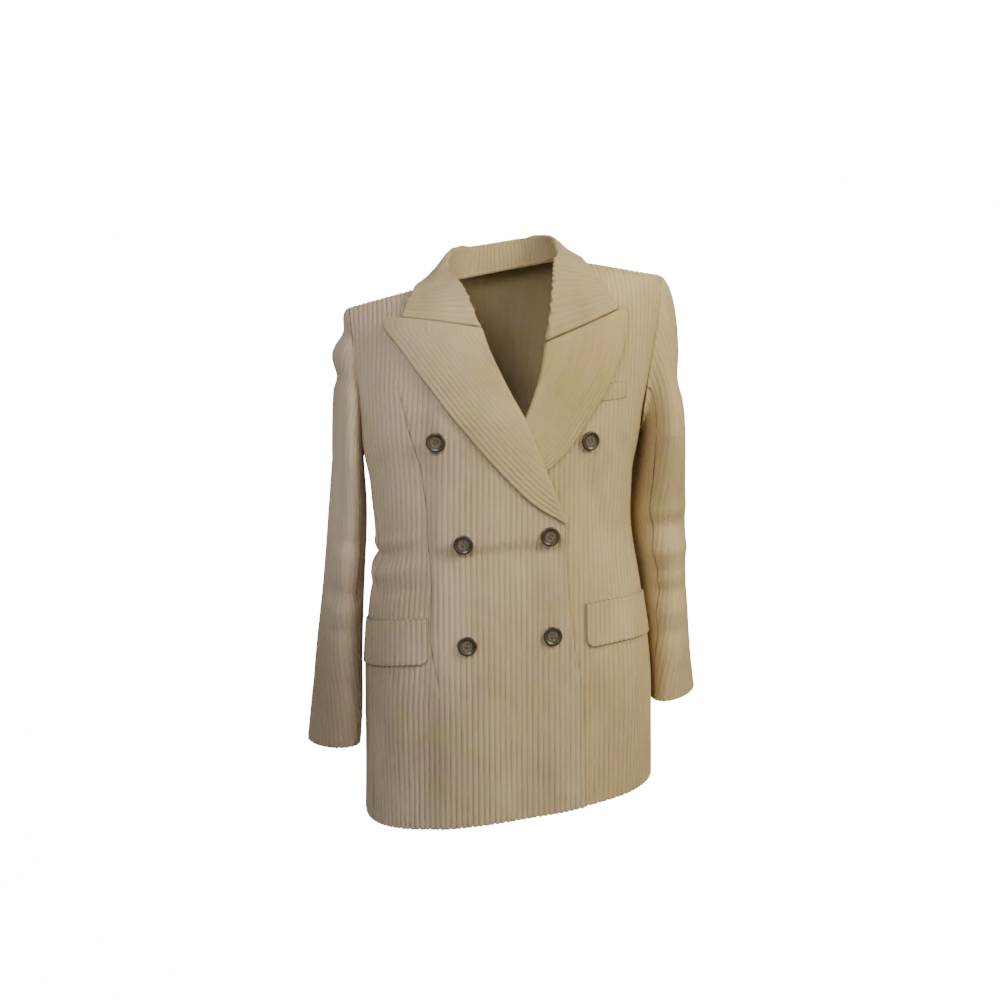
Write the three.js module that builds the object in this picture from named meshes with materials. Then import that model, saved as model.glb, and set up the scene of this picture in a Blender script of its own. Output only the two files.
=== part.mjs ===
// A double breasted blazer of jumbo corduroy, hollow, in the form it takes when it is worn.
// Millimetres. +Z is up, the front faces -Y and the wearer's right side is at -X.
// The origin is the middle of the neck base, where the wearer's shoulders hold the garment.

import * as THREE from 'three';

const { clamp, lerp, smoothstep } = THREE.MathUtils;

// Cloth
const PITCH = 7;
const GROUND = 1.6;
const CORD = 1.4;
const WALL = GROUND + CORD;
const CLEAR = 0.3;
const HALF_GAP = CLEAR / 2;
// Distances between the columns of the plain inner faces
const INNER_STEP = 21;
const LAYER_STEP = 14;
const COLLAR_STEP = 28;
// Shortest column at an edge, as a share of the usual one
const SLIVER = 0.3;

// Body
const RIGHT = -1;
const LEFT = 1;
const CHEST_Z = -190;
const HEM_Z = -700;
const SIDE_LEAN = 0.075;
const HEM_LEAN = 0.047;
const RING_POWER = 2.5;
const RING_STEPS = 40;
const YOKE_POWER = 0.86;
const NECK_X = 80;
const SEAM_Y = 5;
const NECK_DEPTH = 57;
const SHOULDER = {
  [RIGHT]: { tipX: 199, tipZ: -31, neckZ: -8, armX: 186, dent: 16 },
  [LEFT]: { tipX: 211, tipZ: -20, neckZ: 11, armX: 177, dent: 3 },
};
const ARM_DIP = 26;
const ARM_BACK = 6;
const ARM_STEPS = 8;
// The arm presses the side in at this depth, fading out down to the waist
const DENT_Y = 14;
const DENT_SPREAD = 58;
const DENT_LOW = -520;
const DENT_HIGH = -300;
// Side panel seams below the chest, as shares of the way round
const SIDE_FRONT = 0.41;
const SIDE_BACK = 0.65;
const PANEL_RISE = 170;

// Half widths to the wearer's right and left, and depths to the front and back, at each height
const BODY = [
  { z: -720, right: 184, left: 203, front: 140, back: 127 },
  { z: -640, right: 182, left: 202, front: 137, back: 124 },
  { z: -535, right: 181, left: 199, front: 132, back: 118 },
  { z: -420, right: 181, left: 184, front: 125, back: 104 },
  { z: -345, right: 178, left: 172, front: 120, back: 92 },
  { z: -290, right: 182, left: 172, front: 122, back: 96 },
  { z: -205, right: 194, left: 183, front: 128, back: 110 },
  { z: -180, right: 195, left: 186, front: 128, back: 112 },
];

// The free edge of each front, then its roll line, then its neckline
const EDGE = {
  [RIGHT]: [
    { z: -720, x: 93 }, { z: -550, x: 88 }, { z: -470, x: 76 }, { z: -365, x: 67 },
    { z: -322, x: 62 }, { z: -261, x: 38 }, { z: -190, x: 10 }, { z: -153, x: -10 },
    { z: -96, x: -36 }, { z: -67, x: -45 }, { z: -40, x: -58 }, { z: -8, x: -80 },
  ],
  [LEFT]: [
    { z: -720, x: -93 }, { z: -550, x: -88 }, { z: -470, x: -76 }, { z: -365, x: -67 },
    { z: -322, x: -62 }, { z: -261, x: -27 }, { z: -190, x: 13 }, { z: -139, x: 34 },
    { z: -105, x: 42 }, { z: -89, x: 45 }, { z: -50, x: 59 }, { z: 11, x: 80 },
  ],
};

// Layers where the right front laps over the left one
const LAP_START = -116;
const LAP_END = -88;
const LAP_LOW = 4.4;
const LAP_HIGH = 10.3;
const LAP_STEP = [-352, -332];
const LAP_FADE = [-188, -140];
const LAPEL_RISE = 3.5;
const LAPEL_LIFT = [-200, -150];

// Lapels: outer edge from the break up to the peak, and the roll line
const LAPELS = {
  [RIGHT]: {
    outer: [
      [58, -316], [22, -290], [-22, -243], [-80, -170], [-120, -113], [-140, -82], [-156, -57], [-152, -47],
    ],
    roll: [[60, -317], [38, -261], [10, -190], [-10, -153], [-36, -96], [-45, -67]],
  },
  [LEFT]: {
    outer: [
      [-58, -316], [-40, -306], [0, -281], [35, -254], [67, -227], [107, -170], [138, -112],
      [149, -62], [147, -56],
    ],
    roll: [[-59, -317], [-27, -261], [13, -190], [34, -139], [42, -105], [45, -89]],
  },
};
const HOOK_LENGTH = 9;
const LAPEL_BELLY = 3;
const LAPEL_CLEAR = 0.7;
const FOLD_CLEAR = 2;

// Pockets
const FLAP = { top: -427, height: 60, length: 140, corner: 14 };
const FLAP_CLEAR = 0.9;
const FLAP_FRONT = { [RIGHT]: -108, [LEFT]: 92 };
const WELT = { inner: 88, outer: 146, top: -147, height: 22, clear: 0.5 };

// Buttons
const BUTTON_RADIUS = 12.5;
const BUTTON_THICK = 4.2;
const BUTTON_SIDES = 18;
const BUTTON_CLEAR = 0.5;
const BUTTON_START = 8;
// From the middle of the underside round the rim to the middle of the dish, in radii and thicknesses
const BUTTON_PROFILE = [[0, 0], [0.8, 0], [1, 0.5], [0.9, 1], [0.7, 0.72], [0, 0.6]];
const BUTTONS = [
  { name: 'button_right_top', side: RIGHT, x: -97, z: -200 },
  { name: 'button_left_top', side: LEFT, x: 96, z: -217 },
  { name: 'button_right_middle', side: RIGHT, x: -64, z: -333 },
  { name: 'button_left_middle', side: RIGHT, x: 43, z: -333 },
  { name: 'button_right_low', side: RIGHT, x: -61, z: -464 },
  { name: 'button_left_low', side: RIGHT, x: 47, z: -463 },
];

// Sleeves: centre, half width across, half depth fore and aft, and inward turn at each height
const CUFF_Z = -600;
const BICEPS_Z = -226;
const SLEEVES = {
  [RIGHT]: [
    { z: -600, x: 228, y: 6, wide: 25, deep: 50, turn: 28 },
    { z: -551, x: 223, y: 12, wide: 27, deep: 53, turn: 20 },
    { z: -480, x: 218, y: 22, wide: 27, deep: 57, turn: 8 },
    { z: -388, x: 210, y: 28, wide: 25, deep: 62, turn: 0 },
    { z: -300, x: 204, y: 26, wide: 23, deep: 68, turn: 0 },
    { z: -226, x: 203, y: 16, wide: 18, deep: 76, turn: 0 },
  ],
  [LEFT]: [
    { z: -600, x: 242, y: 6, wide: 25, deep: 50, turn: 28 },
    { z: -500, x: 233, y: 16, wide: 28, deep: 56, turn: 8 },
    { z: -414, x: 227, y: 24, wide: 28, deep: 60, turn: 0 },
    { z: -332, x: 218, y: 24, wide: 36, deep: 62, turn: 0 },
    { z: -290, x: 219, y: 20, wide: 32, deep: 68, turn: 0 },
    { z: -226, x: 219, y: 10, wide: 28, deep: 75, turn: 0 },
  ],
};
const CAP_CLEAR = 0.75;
const CAP_TURN = 60;
const UNDERARM_CLEAR = 6.2;
const UNDERARM_TURN = 160;
// Shares of the way round where a sleeve starts to clear the body's side, and where it is clear
const UNDERARM_FRONT = [0.34, 0.72];
const UNDERARM_BACK = [0.45, 0.8];
const SLEEVE_SEAM_FRONT = 0.64;
const SLEEVE_SEAM_BACK = 0.5;

// Largest folds. A negative depth is a trough. Body folds stand at x and z, sleeve folds at a share of
// the way from the outer line to the inner one.
const BODY_FOLDS = [
  { x: -172, z: -352, depth: -5, across: 34, along: 9, slope: 0.25 },
  { x: -160, z: -372, depth: 4, across: 40, along: 10, slope: 0.25 },
  { x: -150, z: -520, depth: 5, across: 22, along: 110, slope: 0 },
  { x: 120, z: -330, depth: -5, across: 14, along: 90, slope: -0.35 },
  { x: 150, z: -560, depth: 6, across: 20, along: 110, slope: 0 },
  { x: 20, z: -600, depth: -3, across: 26, along: 120, slope: 0 },
];
const SLEEVE_FOLDS = {
  [RIGHT]: [
    { share: 0, z: -58, depth: -6, across: 0.4, along: 14 },
    { share: 0, z: -88, depth: 5, across: 0.5, along: 16 },
    { share: 0.1, z: -118, depth: -4, across: 0.5, along: 12 },
    { share: 0.35, z: -260, depth: -5, across: 0.12, along: 120 },
    { share: 0.3, z: -400, depth: -5, across: 0.5, along: 12 },
  ],
  [LEFT]: [
    { share: 0, z: -155, depth: -5, across: 0.5, along: 22 },
    { share: 0.45, z: -350, depth: -6, across: 0.4, along: 12 },
    { share: 0.5, z: -385, depth: 5, across: 0.4, along: 12 },
    { share: 0.5, z: -440, depth: -5, across: 0.4, along: 11 },
    { share: 0.45, z: -500, depth: -4, across: 0.4, along: 12 },
  ],
};

// Collar, from the back of the neck to the gorge, before the neck's own tilt
const COLLAR = [
  { roll: [0, 72, 40], edge: [0, 90, -8], seam: [0, 66, 6] },
  { roll: [30, 67, 41], edge: [50, 81, -7], seam: [36, 61, 6] },
  { roll: [52, 48, 42], edge: [89, 51, -7], seam: [62, 44, 6] },
  { roll: [64, 22, 38], edge: [106, 18, 1], seam: [76, 20, 6] },
];
const COLLAR_FRONT = {
  [RIGHT]: [
    { roll: [-71, -14, 10], edge: [-113, -15.5], seam: [-80, -12] },
    { roll: [-63, -14], rise: 10, edge: [-120, -24], seam: [-73, -22] },
    { roll: [-55, -32], rise: 9, edge: [-126.5, -33.5], seam: [-65, -34] },
    { roll: [-46, -66], rise: 6.4, edge: [-134.5, -49.8], seam: [-47, -66] },
  ],
  [LEFT]: [
    { roll: [73, -18, 20], edge: [103, 1], seam: [79, 4] },
    { roll: [68, 2], rise: 11, edge: [109, -10], seam: [75, -12] },
    { roll: [57, -28], rise: 11, edge: [118, -26], seam: [66, -36] },
    { roll: [46, -88], rise: 6.4, edge: [137, -58.2], seam: [47, -87] },
  ],
};
const NECK_CLEAR = 8.5;
const ROLL_CLEAR = 3.5;
const EDGE_RISE = WALL * 1.5 + LAPEL_RISE + 0.8;
const FALL_RISE = EDGE_RISE + 1;
const FALL_DROP = 3;
const FALL_BELLY = -1;
// The neck is wider and lower on its left, measured at the roll beside the shoulder seam
const ROLL_SIDE = 64;
const ROLL_SHIFT = { [RIGHT]: [0, 2], [LEFT]: [5, -4] };
const SHOULDER_BELLY = 1.5;

const CLOTH = { [RIGHT]: 0xc9b999, [LEFT]: 0xcdbd97 };
const HORN = 0x4a3b25;

// Search limits, as distances round from the centre front, and the steps that measure a slope
const EDGE_REACH = 160;
const POCKET_REACH = 240;
const HALVINGS = 36;
const BODY_SLOPE = { run: 0.6, level: 0.006 };
const SLEEVE_SLOPE = { run: 0.8, level: 0.008 };
const COLLAR_SLOPE = { run: 1.5, level: 0.01 };

function cubic(table, by, at, name) {
  const last = table.length - 1;
  const spot = clamp(at, table[0][by], table[last][by]);
  let low = 0;
  while (low < last - 1 && spot > table[low + 1][by]) low += 1;
  const slope = (k) => {
    const before = table[Math.max(0, k - 1)];
    const after = table[Math.min(last, k + 1)];
    return (after[name] - before[name]) / (after[by] - before[by]);
  };
  const span = table[low + 1][by] - table[low][by];
  const t = (spot - table[low][by]) / span;
  const start = table[low][name] * (1 + 2 * t) * (1 - t) ** 2 + slope(low) * span * t * (1 - t) ** 2;
  return start + table[low + 1][name] * t * t * (3 - 2 * t) + slope(low + 1) * span * t * t * (t - 1);
}

// Half a section of the body as a polyline from the centre front to the centre back
const halves = new Map();

function halfRing(side, z) {
  const key = `${side}:${z.toFixed(4)}`;
  if (halves.has(key)) return halves.get(key);
  const width = cubic(BODY, 'z', z, side === RIGHT ? 'right' : 'left');
  const front = cubic(BODY, 'z', z, 'front');
  const back = cubic(BODY, 'z', z, 'back');
  const dent = SHOULDER[side].dent * smoothstep(z, DENT_LOW, DENT_HIGH);
  const power = 2 / RING_POWER;
  const points = [];
  for (let k = 0; k <= 2 * RING_STEPS; k += 1) {
    const angle = (k / RING_STEPS) * (Math.PI / 2);
    const across = Math.abs(Math.sin(angle)) ** power;
    const depth = Math.abs(Math.cos(angle)) ** power;
    const y = k <= RING_STEPS ? -front * depth : back * depth;
    const pressed = dent * Math.exp(-(((y - DENT_Y) / DENT_SPREAD) ** 2));
    points.push([side * across * (width - pressed), y]);
  }
  const run = [0];
  for (let k = 1; k < points.length; k += 1) {
    run.push(run[k - 1] + Math.hypot(points[k][0] - points[k - 1][0], points[k][1] - points[k - 1][1]));
  }
  const half = { points, run, total: run[run.length - 1] };
  halves.set(key, half);
  return half;
}

function onRing(side, s, z, fromBack) {
  if (s < 0) return onRing(-side, -s, z, fromBack);
  const { points, run, total } = halfRing(side, z);
  const spot = clamp(fromBack ? total - s : s, 0, total);
  let low = 0;
  let high = run.length - 1;
  while (high - low > 1) {
    const middle = (low + high) >> 1;
    if (run[middle] <= spot) low = middle;
    else high = middle;
  }
  const t = (spot - run[low]) / (run[high] - run[low]);
  return [lerp(points[low][0], points[high][0], t), lerp(points[low][1], points[high][1], t)];
}

// Finds where a rising function crosses zero
function crossing(rising, low, high) {
  for (let k = 0; k < HALVINGS; k += 1) {
    const middle = (low + high) / 2;
    if (rising(middle) > 0) high = middle;
    else low = middle;
  }
  return (low + high) / 2;
}

const ARM_RUN = {};
for (const side of [RIGHT, LEFT]) {
  const { total } = halfRing(side, CHEST_Z);
  const armX = SHOULDER[side].armX;
  const wideAt = (s, fromBack) => Math.abs(onRing(side, s, CHEST_Z, fromBack)[0]);
  const front = crossing((s) => wideAt(s, false) - armX, 0, total * 0.45);
  const back = crossing((s) => wideAt(s, true) - armX + ARM_BACK, 0, total * 0.45);
  ARM_RUN[side] = { front, back, total };
}

function shoulderZ(x) {
  const { tipX, tipZ, neckZ } = SHOULDER[x < 0 ? RIGHT : LEFT];
  if (Math.abs(x) > NECK_X) return lerp(neckZ, tipZ, (Math.abs(x) - NECK_X) / (tipX - NECK_X));
  return lerp(SHOULDER[RIGHT].neckZ, SHOULDER[LEFT].neckZ, (x / NECK_X + 1) / 2);
}

function folds(x, z) {
  let rise = 0;
  for (const fold of BODY_FOLDS) {
    const upright = fold.along > fold.across;
    const up = z - fold.z;
    const out = x - fold.x - up * (upright ? fold.slope : 0);
    const high = up - out * (upright ? 0 : fold.slope);
    rise += fold.depth * Math.exp(-((out / fold.across) ** 2) - (high / fold.along) ** 2);
  }
  return rise;
}

// The inner face of the body cloth. Level 0 to 1 runs from the hem to the chest, 1 to 2 from there to
// the shoulder seam, and s is the distance round from the centre front, or from the centre back.
function bodyFace(side, s, level, fromBack, topZ) {
  if (level <= 1) {
    const z = lerp(HEM_Z, topZ === undefined ? CHEST_Z : topZ, level);
    const [x, y] = onRing(side, s, z, fromBack);
    return new THREE.Vector3(x, y, z);
  }
  if (s < 0) return bodyFace(-side, -s, level, fromBack);
  const turn = (level - 1) * (Math.PI / 2);
  const up = Math.sin(turn) ** YOKE_POWER;
  const [lowX, lowY] = onRing(side, s, CHEST_Z, fromBack);
  const run = fromBack ? ARM_RUN[side].back : ARM_RUN[side].front;
  const x = lerp(lowX, side * s * (SHOULDER[side].tipX / run), up);
  const inNeck = fromBack && Math.abs(x) < NECK_X;
  const seamY = SEAM_Y + (inNeck ? NECK_DEPTH * Math.sqrt(1 - (x / NECK_X) ** 2) : 0);
  const y = seamY + (lowY - seamY) * Math.max(0, Math.cos(turn)) ** YOKE_POWER;
  return new THREE.Vector3(x, y, lerp(CHEST_Z, shoulderZ(x), up));
}

function bodyPoint(side, s, level, height, fromBack = false, topZ = undefined) {
  const at = (ds, dl) => bodyFace(side, s + ds, clamp(level + dl, 0, 2), fromBack, topZ);
  const point = at(0, 0);
  const along = at(BODY_SLOPE.run, 0).sub(at(-BODY_SLOPE.run, 0));
  const up = at(0, BODY_SLOPE.level).sub(at(0, -BODY_SLOPE.level));
  const sign = fromBack ? -side : side;
  const normal = along.cross(up).multiplyScalar(sign).normalize();
  return point.addScaledVector(normal, height + (fromBack ? 0 : folds(point.x, point.z)));
}

// How far the right front is lifted by what lies under it
function lap(x, z) {
  const high = smoothstep(z, ...LAP_STEP);
  const fade = 1 - smoothstep(z, ...LAP_FADE);
  return smoothstep(x, LAP_START, LAP_END) * lerp(LAP_LOW, LAP_HIGH, high) * fade;
}

const levelAt = (z) => (z - HEM_Z) / (CHEST_Z - HEM_Z);

function yokeLevel(x, z) {
  const up = clamp((z - CHEST_Z) / (shoulderZ(x) - CHEST_Z), 0, 1);
  return 1 + Math.asin(up ** (1 / YOKE_POWER)) / (Math.PI / 2);
}

// A point over the front at a given x and z
function frontPoint(side, x, z, height) {
  const half = x < 0 ? RIGHT : LEFT;
  const level = z <= CHEST_Z ? levelAt(z) : yokeLevel(x, z);
  const s = crossing((run) => Math.abs(bodyFace(half, run, level).x) - Math.abs(x), 0, ARM_RUN[half].front);
  return bodyPoint(half, s, level, height + (side === RIGHT ? lap(x, z) : 0));
}

// Builds a closed wall. Rows follow the levels. Columns stand at a fixed distance along the cloth, so the
// cords keep their pitch, and the side edges cut them. Extra tail columns close the right-hand edge.
function wall({ levels, left, right, place, tail = [0], innerStep = INNER_STEP }) {
  const points = [];
  const cordHeight = (s) => {
    const phase = Math.abs(s / PITCH - Math.round(s / PITCH)) * 2;
    return GROUND + CORD * phase;
  };
  const chain = (level, spacing, heightAt) => {
    const from = left(level);
    const to = right(level);
    const stops = [from];
    const first = Math.ceil(from / spacing + SLIVER);
    for (let k = first; k < to / spacing - SLIVER; k += 1) stops.push(k * spacing);
    for (const extra of tail) stops.push(to + extra);
    return stops.map((s) => {
      points.push(place(s, level, heightAt(s)));
      return { s, index: points.length - 1 };
    });
  };
  const faces = [];
  const face = (a, b, c, flip) => faces.push(...(flip ? [a, c, b] : [a, b, c]));
  const zip = (low, high, flip) => {
    let i = 0;
    let j = 0;
    const lowEnd = low.length - tail.length;
    const highEnd = high.length - tail.length;
    while (i < lowEnd || j < highEnd) {
      const nextLow = i < lowEnd ? low[i + 1].s : Infinity;
      const nextHigh = j < highEnd ? high[j + 1].s : Infinity;
      const paired = Math.abs(nextLow - nextHigh) < 1e-6 || (i === lowEnd - 1 && j === highEnd - 1);
      if (paired) {
        face(low[i].index, low[i + 1].index, high[j + 1].index, flip);
        face(low[i].index, high[j + 1].index, high[j].index, flip);
        i += 1;
        j += 1;
      } else if (nextLow < nextHigh) {
        face(low[i].index, low[i + 1].index, high[j].index, flip);
        i += 1;
      } else {
        face(low[i].index, high[j + 1].index, high[j].index, flip);
        j += 1;
      }
    }
    for (let k = 1; k < tail.length; k += 1) {
      const a = lowEnd + k;
      const b = highEnd + k;
      face(low[a - 1].index, low[a].index, high[b].index, flip);
      face(low[a - 1].index, high[b].index, high[b - 1].index, flip);
    }
  };
  const outer = levels.map((level) => chain(level, PITCH / 2, cordHeight));
  const inner = levels.map((level) => chain(level, innerStep, () => 0));
  for (let k = 1; k < levels.length; k += 1) {
    zip(outer[k - 1], outer[k], false);
    zip(inner[k - 1], inner[k], true);
    const corners = [outer[k - 1], outer[k], inner[k], inner[k - 1]];
    const [a, b, c, d] = corners.map((row) => row[0].index);
    face(a, b, c, false);
    face(a, c, d, false);
    const [e, f, g, h] = corners.map((row) => row[row.length - 1].index);
    face(e, g, f, false);
    face(e, h, g, false);
  }
  zip(inner[0], outer[0], false);
  zip(outer[levels.length - 1], inner[levels.length - 1], false);
  return solid(points, faces);
}

// The garment hangs lower on the wearer's right side, and a little more so at the hem
function lean({ x, z }) {
  return x * (SIDE_LEAN + HEM_LEAN * smoothstep(-z, 400, 700));
}

function solid(points, faces) {
  let volume = 0;
  for (let k = 0; k < faces.length; k += 3) {
    const [a, b, c] = [points[faces[k]], points[faces[k + 1]], points[faces[k + 2]]];
    volume += a.dot(b.clone().cross(c));
  }
  if (volume < 0) faces.reverse();
  const leaned = points.flatMap((p) => [p.x, p.y, p.z + lean(p)]);
  const geometry = new THREE.BufferGeometry();
  geometry.setAttribute('position', new THREE.Float32BufferAttribute(leaned, 3));
  geometry.setIndex(faces);
  return geometry;
}

const blazer = new THREE.Group();

function add(name, geometry, color, roughness = 0.92) {
  const material = new THREE.MeshStandardMaterial({ color, roughness, metalness: 0 });
  const mesh = new THREE.Mesh(geometry, material);
  mesh.name = name;
  blazer.add(mesh);
}

const sideName = (side) => (side === RIGHT ? 'right' : 'left');

// Seams between the front, the side panel and the back, as distances from the centre front
function seamRun(side, level, name) {
  const z = lerp(HEM_Z, CHEST_Z, Math.min(level, 1));
  const { total } = halfRing(side, z);
  const chest = ARM_RUN[side];
  const top = name === 'front' ? chest.front / chest.total : 1 - chest.back / chest.total;
  const low = name === 'front' ? SIDE_FRONT : SIDE_BACK;
  return total * lerp(low, top, smoothstep(z, CHEST_Z - PANEL_RISE, CHEST_Z));
}

const BODY_LEVELS = [0, 0.2, 0.4, 0.57, 0.7, 0.85, 1];
const BIB_LEVELS = [1.2, 1.42, 1.64, 1.84, 2];

function frontEdgeRun(side, level) {
  const past = (s) => {
    const point = bodyFace(side, s, level);
    return side * (point.x - cubic(EDGE[side], 'z', point.z, 'x'));
  };
  return crossing(past, -EDGE_REACH, EDGE_REACH);
}

function addFront(side) {
  const geometry = wall({
    levels: [...BODY_LEVELS, ...BIB_LEVELS],
    left: (level) => frontEdgeRun(side, level) + HALF_GAP,
    right: (level) => (level <= 1 ? seamRun(side, level, 'front') : ARM_RUN[side].front) - HALF_GAP,
    place: (s, level, height) => {
      const face = bodyFace(side, s, level);
      const point = bodyPoint(side, s, level, height + (side === RIGHT ? lap(face.x, face.z) : 0));
      if (level === 2) point.y -= HALF_GAP;
      return point;
    },
  });
  add(`front_${sideName(side)}`, geometry, CLOTH[side]);
}

function armholeDip(side, s, level) {
  const from = seamRun(side, level, 'front');
  const to = seamRun(side, level, 'back');
  const share = clamp((2 * s - from - to) / (to - from), -1, 1);
  return CHEST_Z - ARM_DIP * Math.sqrt(1 - share * share);
}

function addSidePanel(side) {
  const geometry = wall({
    levels: BODY_LEVELS,
    left: (level) => seamRun(side, level, 'front') + HALF_GAP,
    right: (level) => seamRun(side, level, 'back') - HALF_GAP,
    place: (s, level, height) => bodyPoint(side, s, level, height, false, armholeDip(side, s, level)),
  });
  add(`side_panel_${sideName(side)}`, geometry, CLOTH[side]);
}

function addBack(side) {
  const geometry = wall({
    levels: [...BODY_LEVELS, ...BIB_LEVELS],
    left: () => HALF_GAP,
    right: (level) => {
      if (level > 1) return ARM_RUN[side].back - HALF_GAP;
      const z = lerp(HEM_Z, CHEST_Z, level);
      return halfRing(side, z).total - seamRun(side, level, 'back') - HALF_GAP;
    },
    place: (s, level, height) => {
      const point = bodyPoint(side, s, level, height, true);
      if (level === 2) point.y += HALF_GAP;
      return point;
    },
  });
  add(`back_${sideName(side)}`, geometry, CLOTH[side]);
}

// A sleeve section as two polylines from the outer line, one round the front and one round the back
function sleeveRing(side, z) {
  const table = SLEEVES[side];
  const get = (name) => cubic(table, 'z', z, name);
  const turn = THREE.MathUtils.degToRad(get('turn'));
  const halvesOf = [1, -1].map((way) => {
    const points = [];
    for (let k = 0; k <= RING_STEPS; k += 1) {
      const angle = (k / RING_STEPS) * Math.PI;
      const out = get('wide') * Math.cos(angle);
      const back = -way * get('deep') * Math.sin(angle);
      const x = side * (get('x') + out * Math.cos(turn) + back * Math.sin(turn));
      points.push(new THREE.Vector3(x, get('y') - out * Math.sin(turn) + back * Math.cos(turn), z));
    }
    return points;
  });
  return halvesOf.map(measured);
}

function measured(points) {
  const run = [0];
  for (let k = 1; k < points.length; k += 1) run.push(run[k - 1] + points[k].distanceTo(points[k - 1]));
  return { points, run, total: run[run.length - 1] };
}

function alongLine({ points, run, total }, share) {
  const spot = clamp(share, 0, 1) * total;
  let k = 1;
  while (k < run.length - 1 && run[k] < spot) k += 1;
  return points[k - 1].clone().lerp(points[k], (spot - run[k - 1]) / (run[k] - run[k - 1]));
}

// The armhole from the shoulder tip down to the underarm, round the front and round the back
const armholes = new Map();

function armhole(side, height) {
  const key = `${side}:${height.toFixed(2)}`;
  if (armholes.has(key)) return armholes.get(key);
  const lines = [false, true].map((fromBack) => {
    const run = fromBack ? ARM_RUN[side].back : ARM_RUN[side].front;
    const down = [...BIB_LEVELS.slice().reverse(), 1];
    const points = down.map((level) => bodyPoint(side, run, level, height, fromBack));
    const from = seamRun(side, 1, fromBack ? 'back' : 'front');
    const middle = (seamRun(side, 1, 'front') + seamRun(side, 1, 'back')) / 2;
    for (let k = 1; k <= ARM_STEPS; k += 1) {
      const s = lerp(from, middle, Math.sin((k / ARM_STEPS) * (Math.PI / 2)));
      points.push(bodyPoint(side, s, 1, height, false, armholeDip(side, s, 1)));
    }
    return points;
  });
  armholes.set(key, lines.map(measured));
  return armholes.get(key);
}

// How far round a sleeve a distance u from the outer line, or from the inner one, has come
function sleeveShare(side, u, level, fromInner) {
  const ring = sleeveRing(side, lerp(CUFF_Z, BICEPS_Z, Math.min(level, 1)))[u >= 0 ? 0 : 1];
  const share = Math.abs(u) / ring.total;
  return { ring, share: fromInner ? 1 - share : share };
}

// The part of the armhole where the sleeve hangs beside the body, from 0 to 1
function underarm(u, share) {
  return smoothstep(share, ...(u >= 0 ? UNDERARM_FRONT : UNDERARM_BACK));
}

// Where the sleeve cap meets the armhole. Below, it clears the body's side instead of facing its edge.
function capEdge(side, u, share, height) {
  const point = alongLine(armhole(side, height)[u >= 0 ? 0 : 1], share);
  const past = new THREE.Vector3(side, -point.y / CAP_TURN, 0).normalize();
  const out = new THREE.Vector3(side, point.y / UNDERARM_TURN, 0).normalize();
  return point.addScaledVector(past, CAP_CLEAR).addScaledVector(out, UNDERARM_CLEAR * underarm(u, share));
}

// The inner face of a sleeve. u is the distance round from the outer line, positive to the front.
function sleeveFace(side, u, level, fromInner) {
  const { ring, share } = sleeveShare(side, u, level, fromInner);
  const low = alongLine(ring, share);
  if (level <= 1) return low;
  const turn = (level - 1) * (Math.PI / 2);
  const top = capEdge(side, u, share, 0);
  const z = lerp(low.z, top.z, Math.sin(turn));
  return top.lerp(low, Math.cos(turn)).setZ(z);
}

function sleeveFolds(side, u, z, share) {
  const fade = u >= 0 ? 1 : 0.6;
  let rise = 0;
  for (const fold of SLEEVE_FOLDS[side]) {
    const out = (share - fold.share) / fold.across;
    rise += fade * fold.depth * Math.exp(-(out ** 2) - ((z - fold.z) / fold.along) ** 2);
  }
  return rise * (1 - smoothstep(share, 0.6, 0.9));
}

function sleevePoint(side, u, level, height, fromInner) {
  const at = (du, dl) => sleeveFace(side, u + du, clamp(level + dl, 0, 2), fromInner);
  const point = at(0, 0);
  const along = at(SLEEVE_SLOPE.run, 0).sub(at(-SLEEVE_SLOPE.run, 0));
  const up = at(0, SLEEVE_SLOPE.level).sub(at(0, -SLEEVE_SLOPE.level));
  const normal = along.cross(up).multiplyScalar(fromInner ? side : -side).normalize();
  const { share } = sleeveShare(side, u, level, fromInner);
  const fold = level < 2 ? sleeveFolds(side, u, point.z, share) : 0;
  point.addScaledVector(normal, height + fold);
  if (level < 2) return point;
  return capEdge(side, u, share, height).lerp(point, underarm(u, share));
}

const SLEEVE_LEVELS = [0, 0.2, 0.4, 0.55, 0.68, 1, 1.28, 1.56, 1.8, 2];

function sleeveSpan(side, level, way, share) {
  const z = lerp(CUFF_Z, BICEPS_Z, Math.min(level, 1));
  return sleeveRing(side, z)[way].total * share;
}

function addSleeve(side) {
  add(`sleeve_top_${sideName(side)}`, wall({
    levels: SLEEVE_LEVELS,
    left: (level) => HALF_GAP - sleeveSpan(side, level, 1, SLEEVE_SEAM_BACK),
    right: (level) => sleeveSpan(side, level, 0, SLEEVE_SEAM_FRONT) - HALF_GAP,
    place: (u, level, height) => sleevePoint(side, u, level, height, false),
  }), CLOTH[side]);
  add(`sleeve_under_${sideName(side)}`, wall({
    levels: SLEEVE_LEVELS,
    left: (level) => HALF_GAP - sleeveSpan(side, level, 1, 1 - SLEEVE_SEAM_BACK),
    right: (level) => sleeveSpan(side, level, 0, 1 - SLEEVE_SEAM_FRONT) - HALF_GAP,
    place: (u, level, height) => sleevePoint(side, u, level, height, true),
  }), CLOTH[side]);
}

const smoothCurve = (points) => new THREE.CatmullRomCurve3(points, false, 'centripetal');
const flatCurve = (list) => smoothCurve(list.map(([x, z]) => new THREE.Vector3(x, 0, z)));

function lapelBase(z) {
  return WALL + LAPEL_CLEAR + LAPEL_RISE * smoothstep(z, ...LAPEL_LIFT);
}

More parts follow.
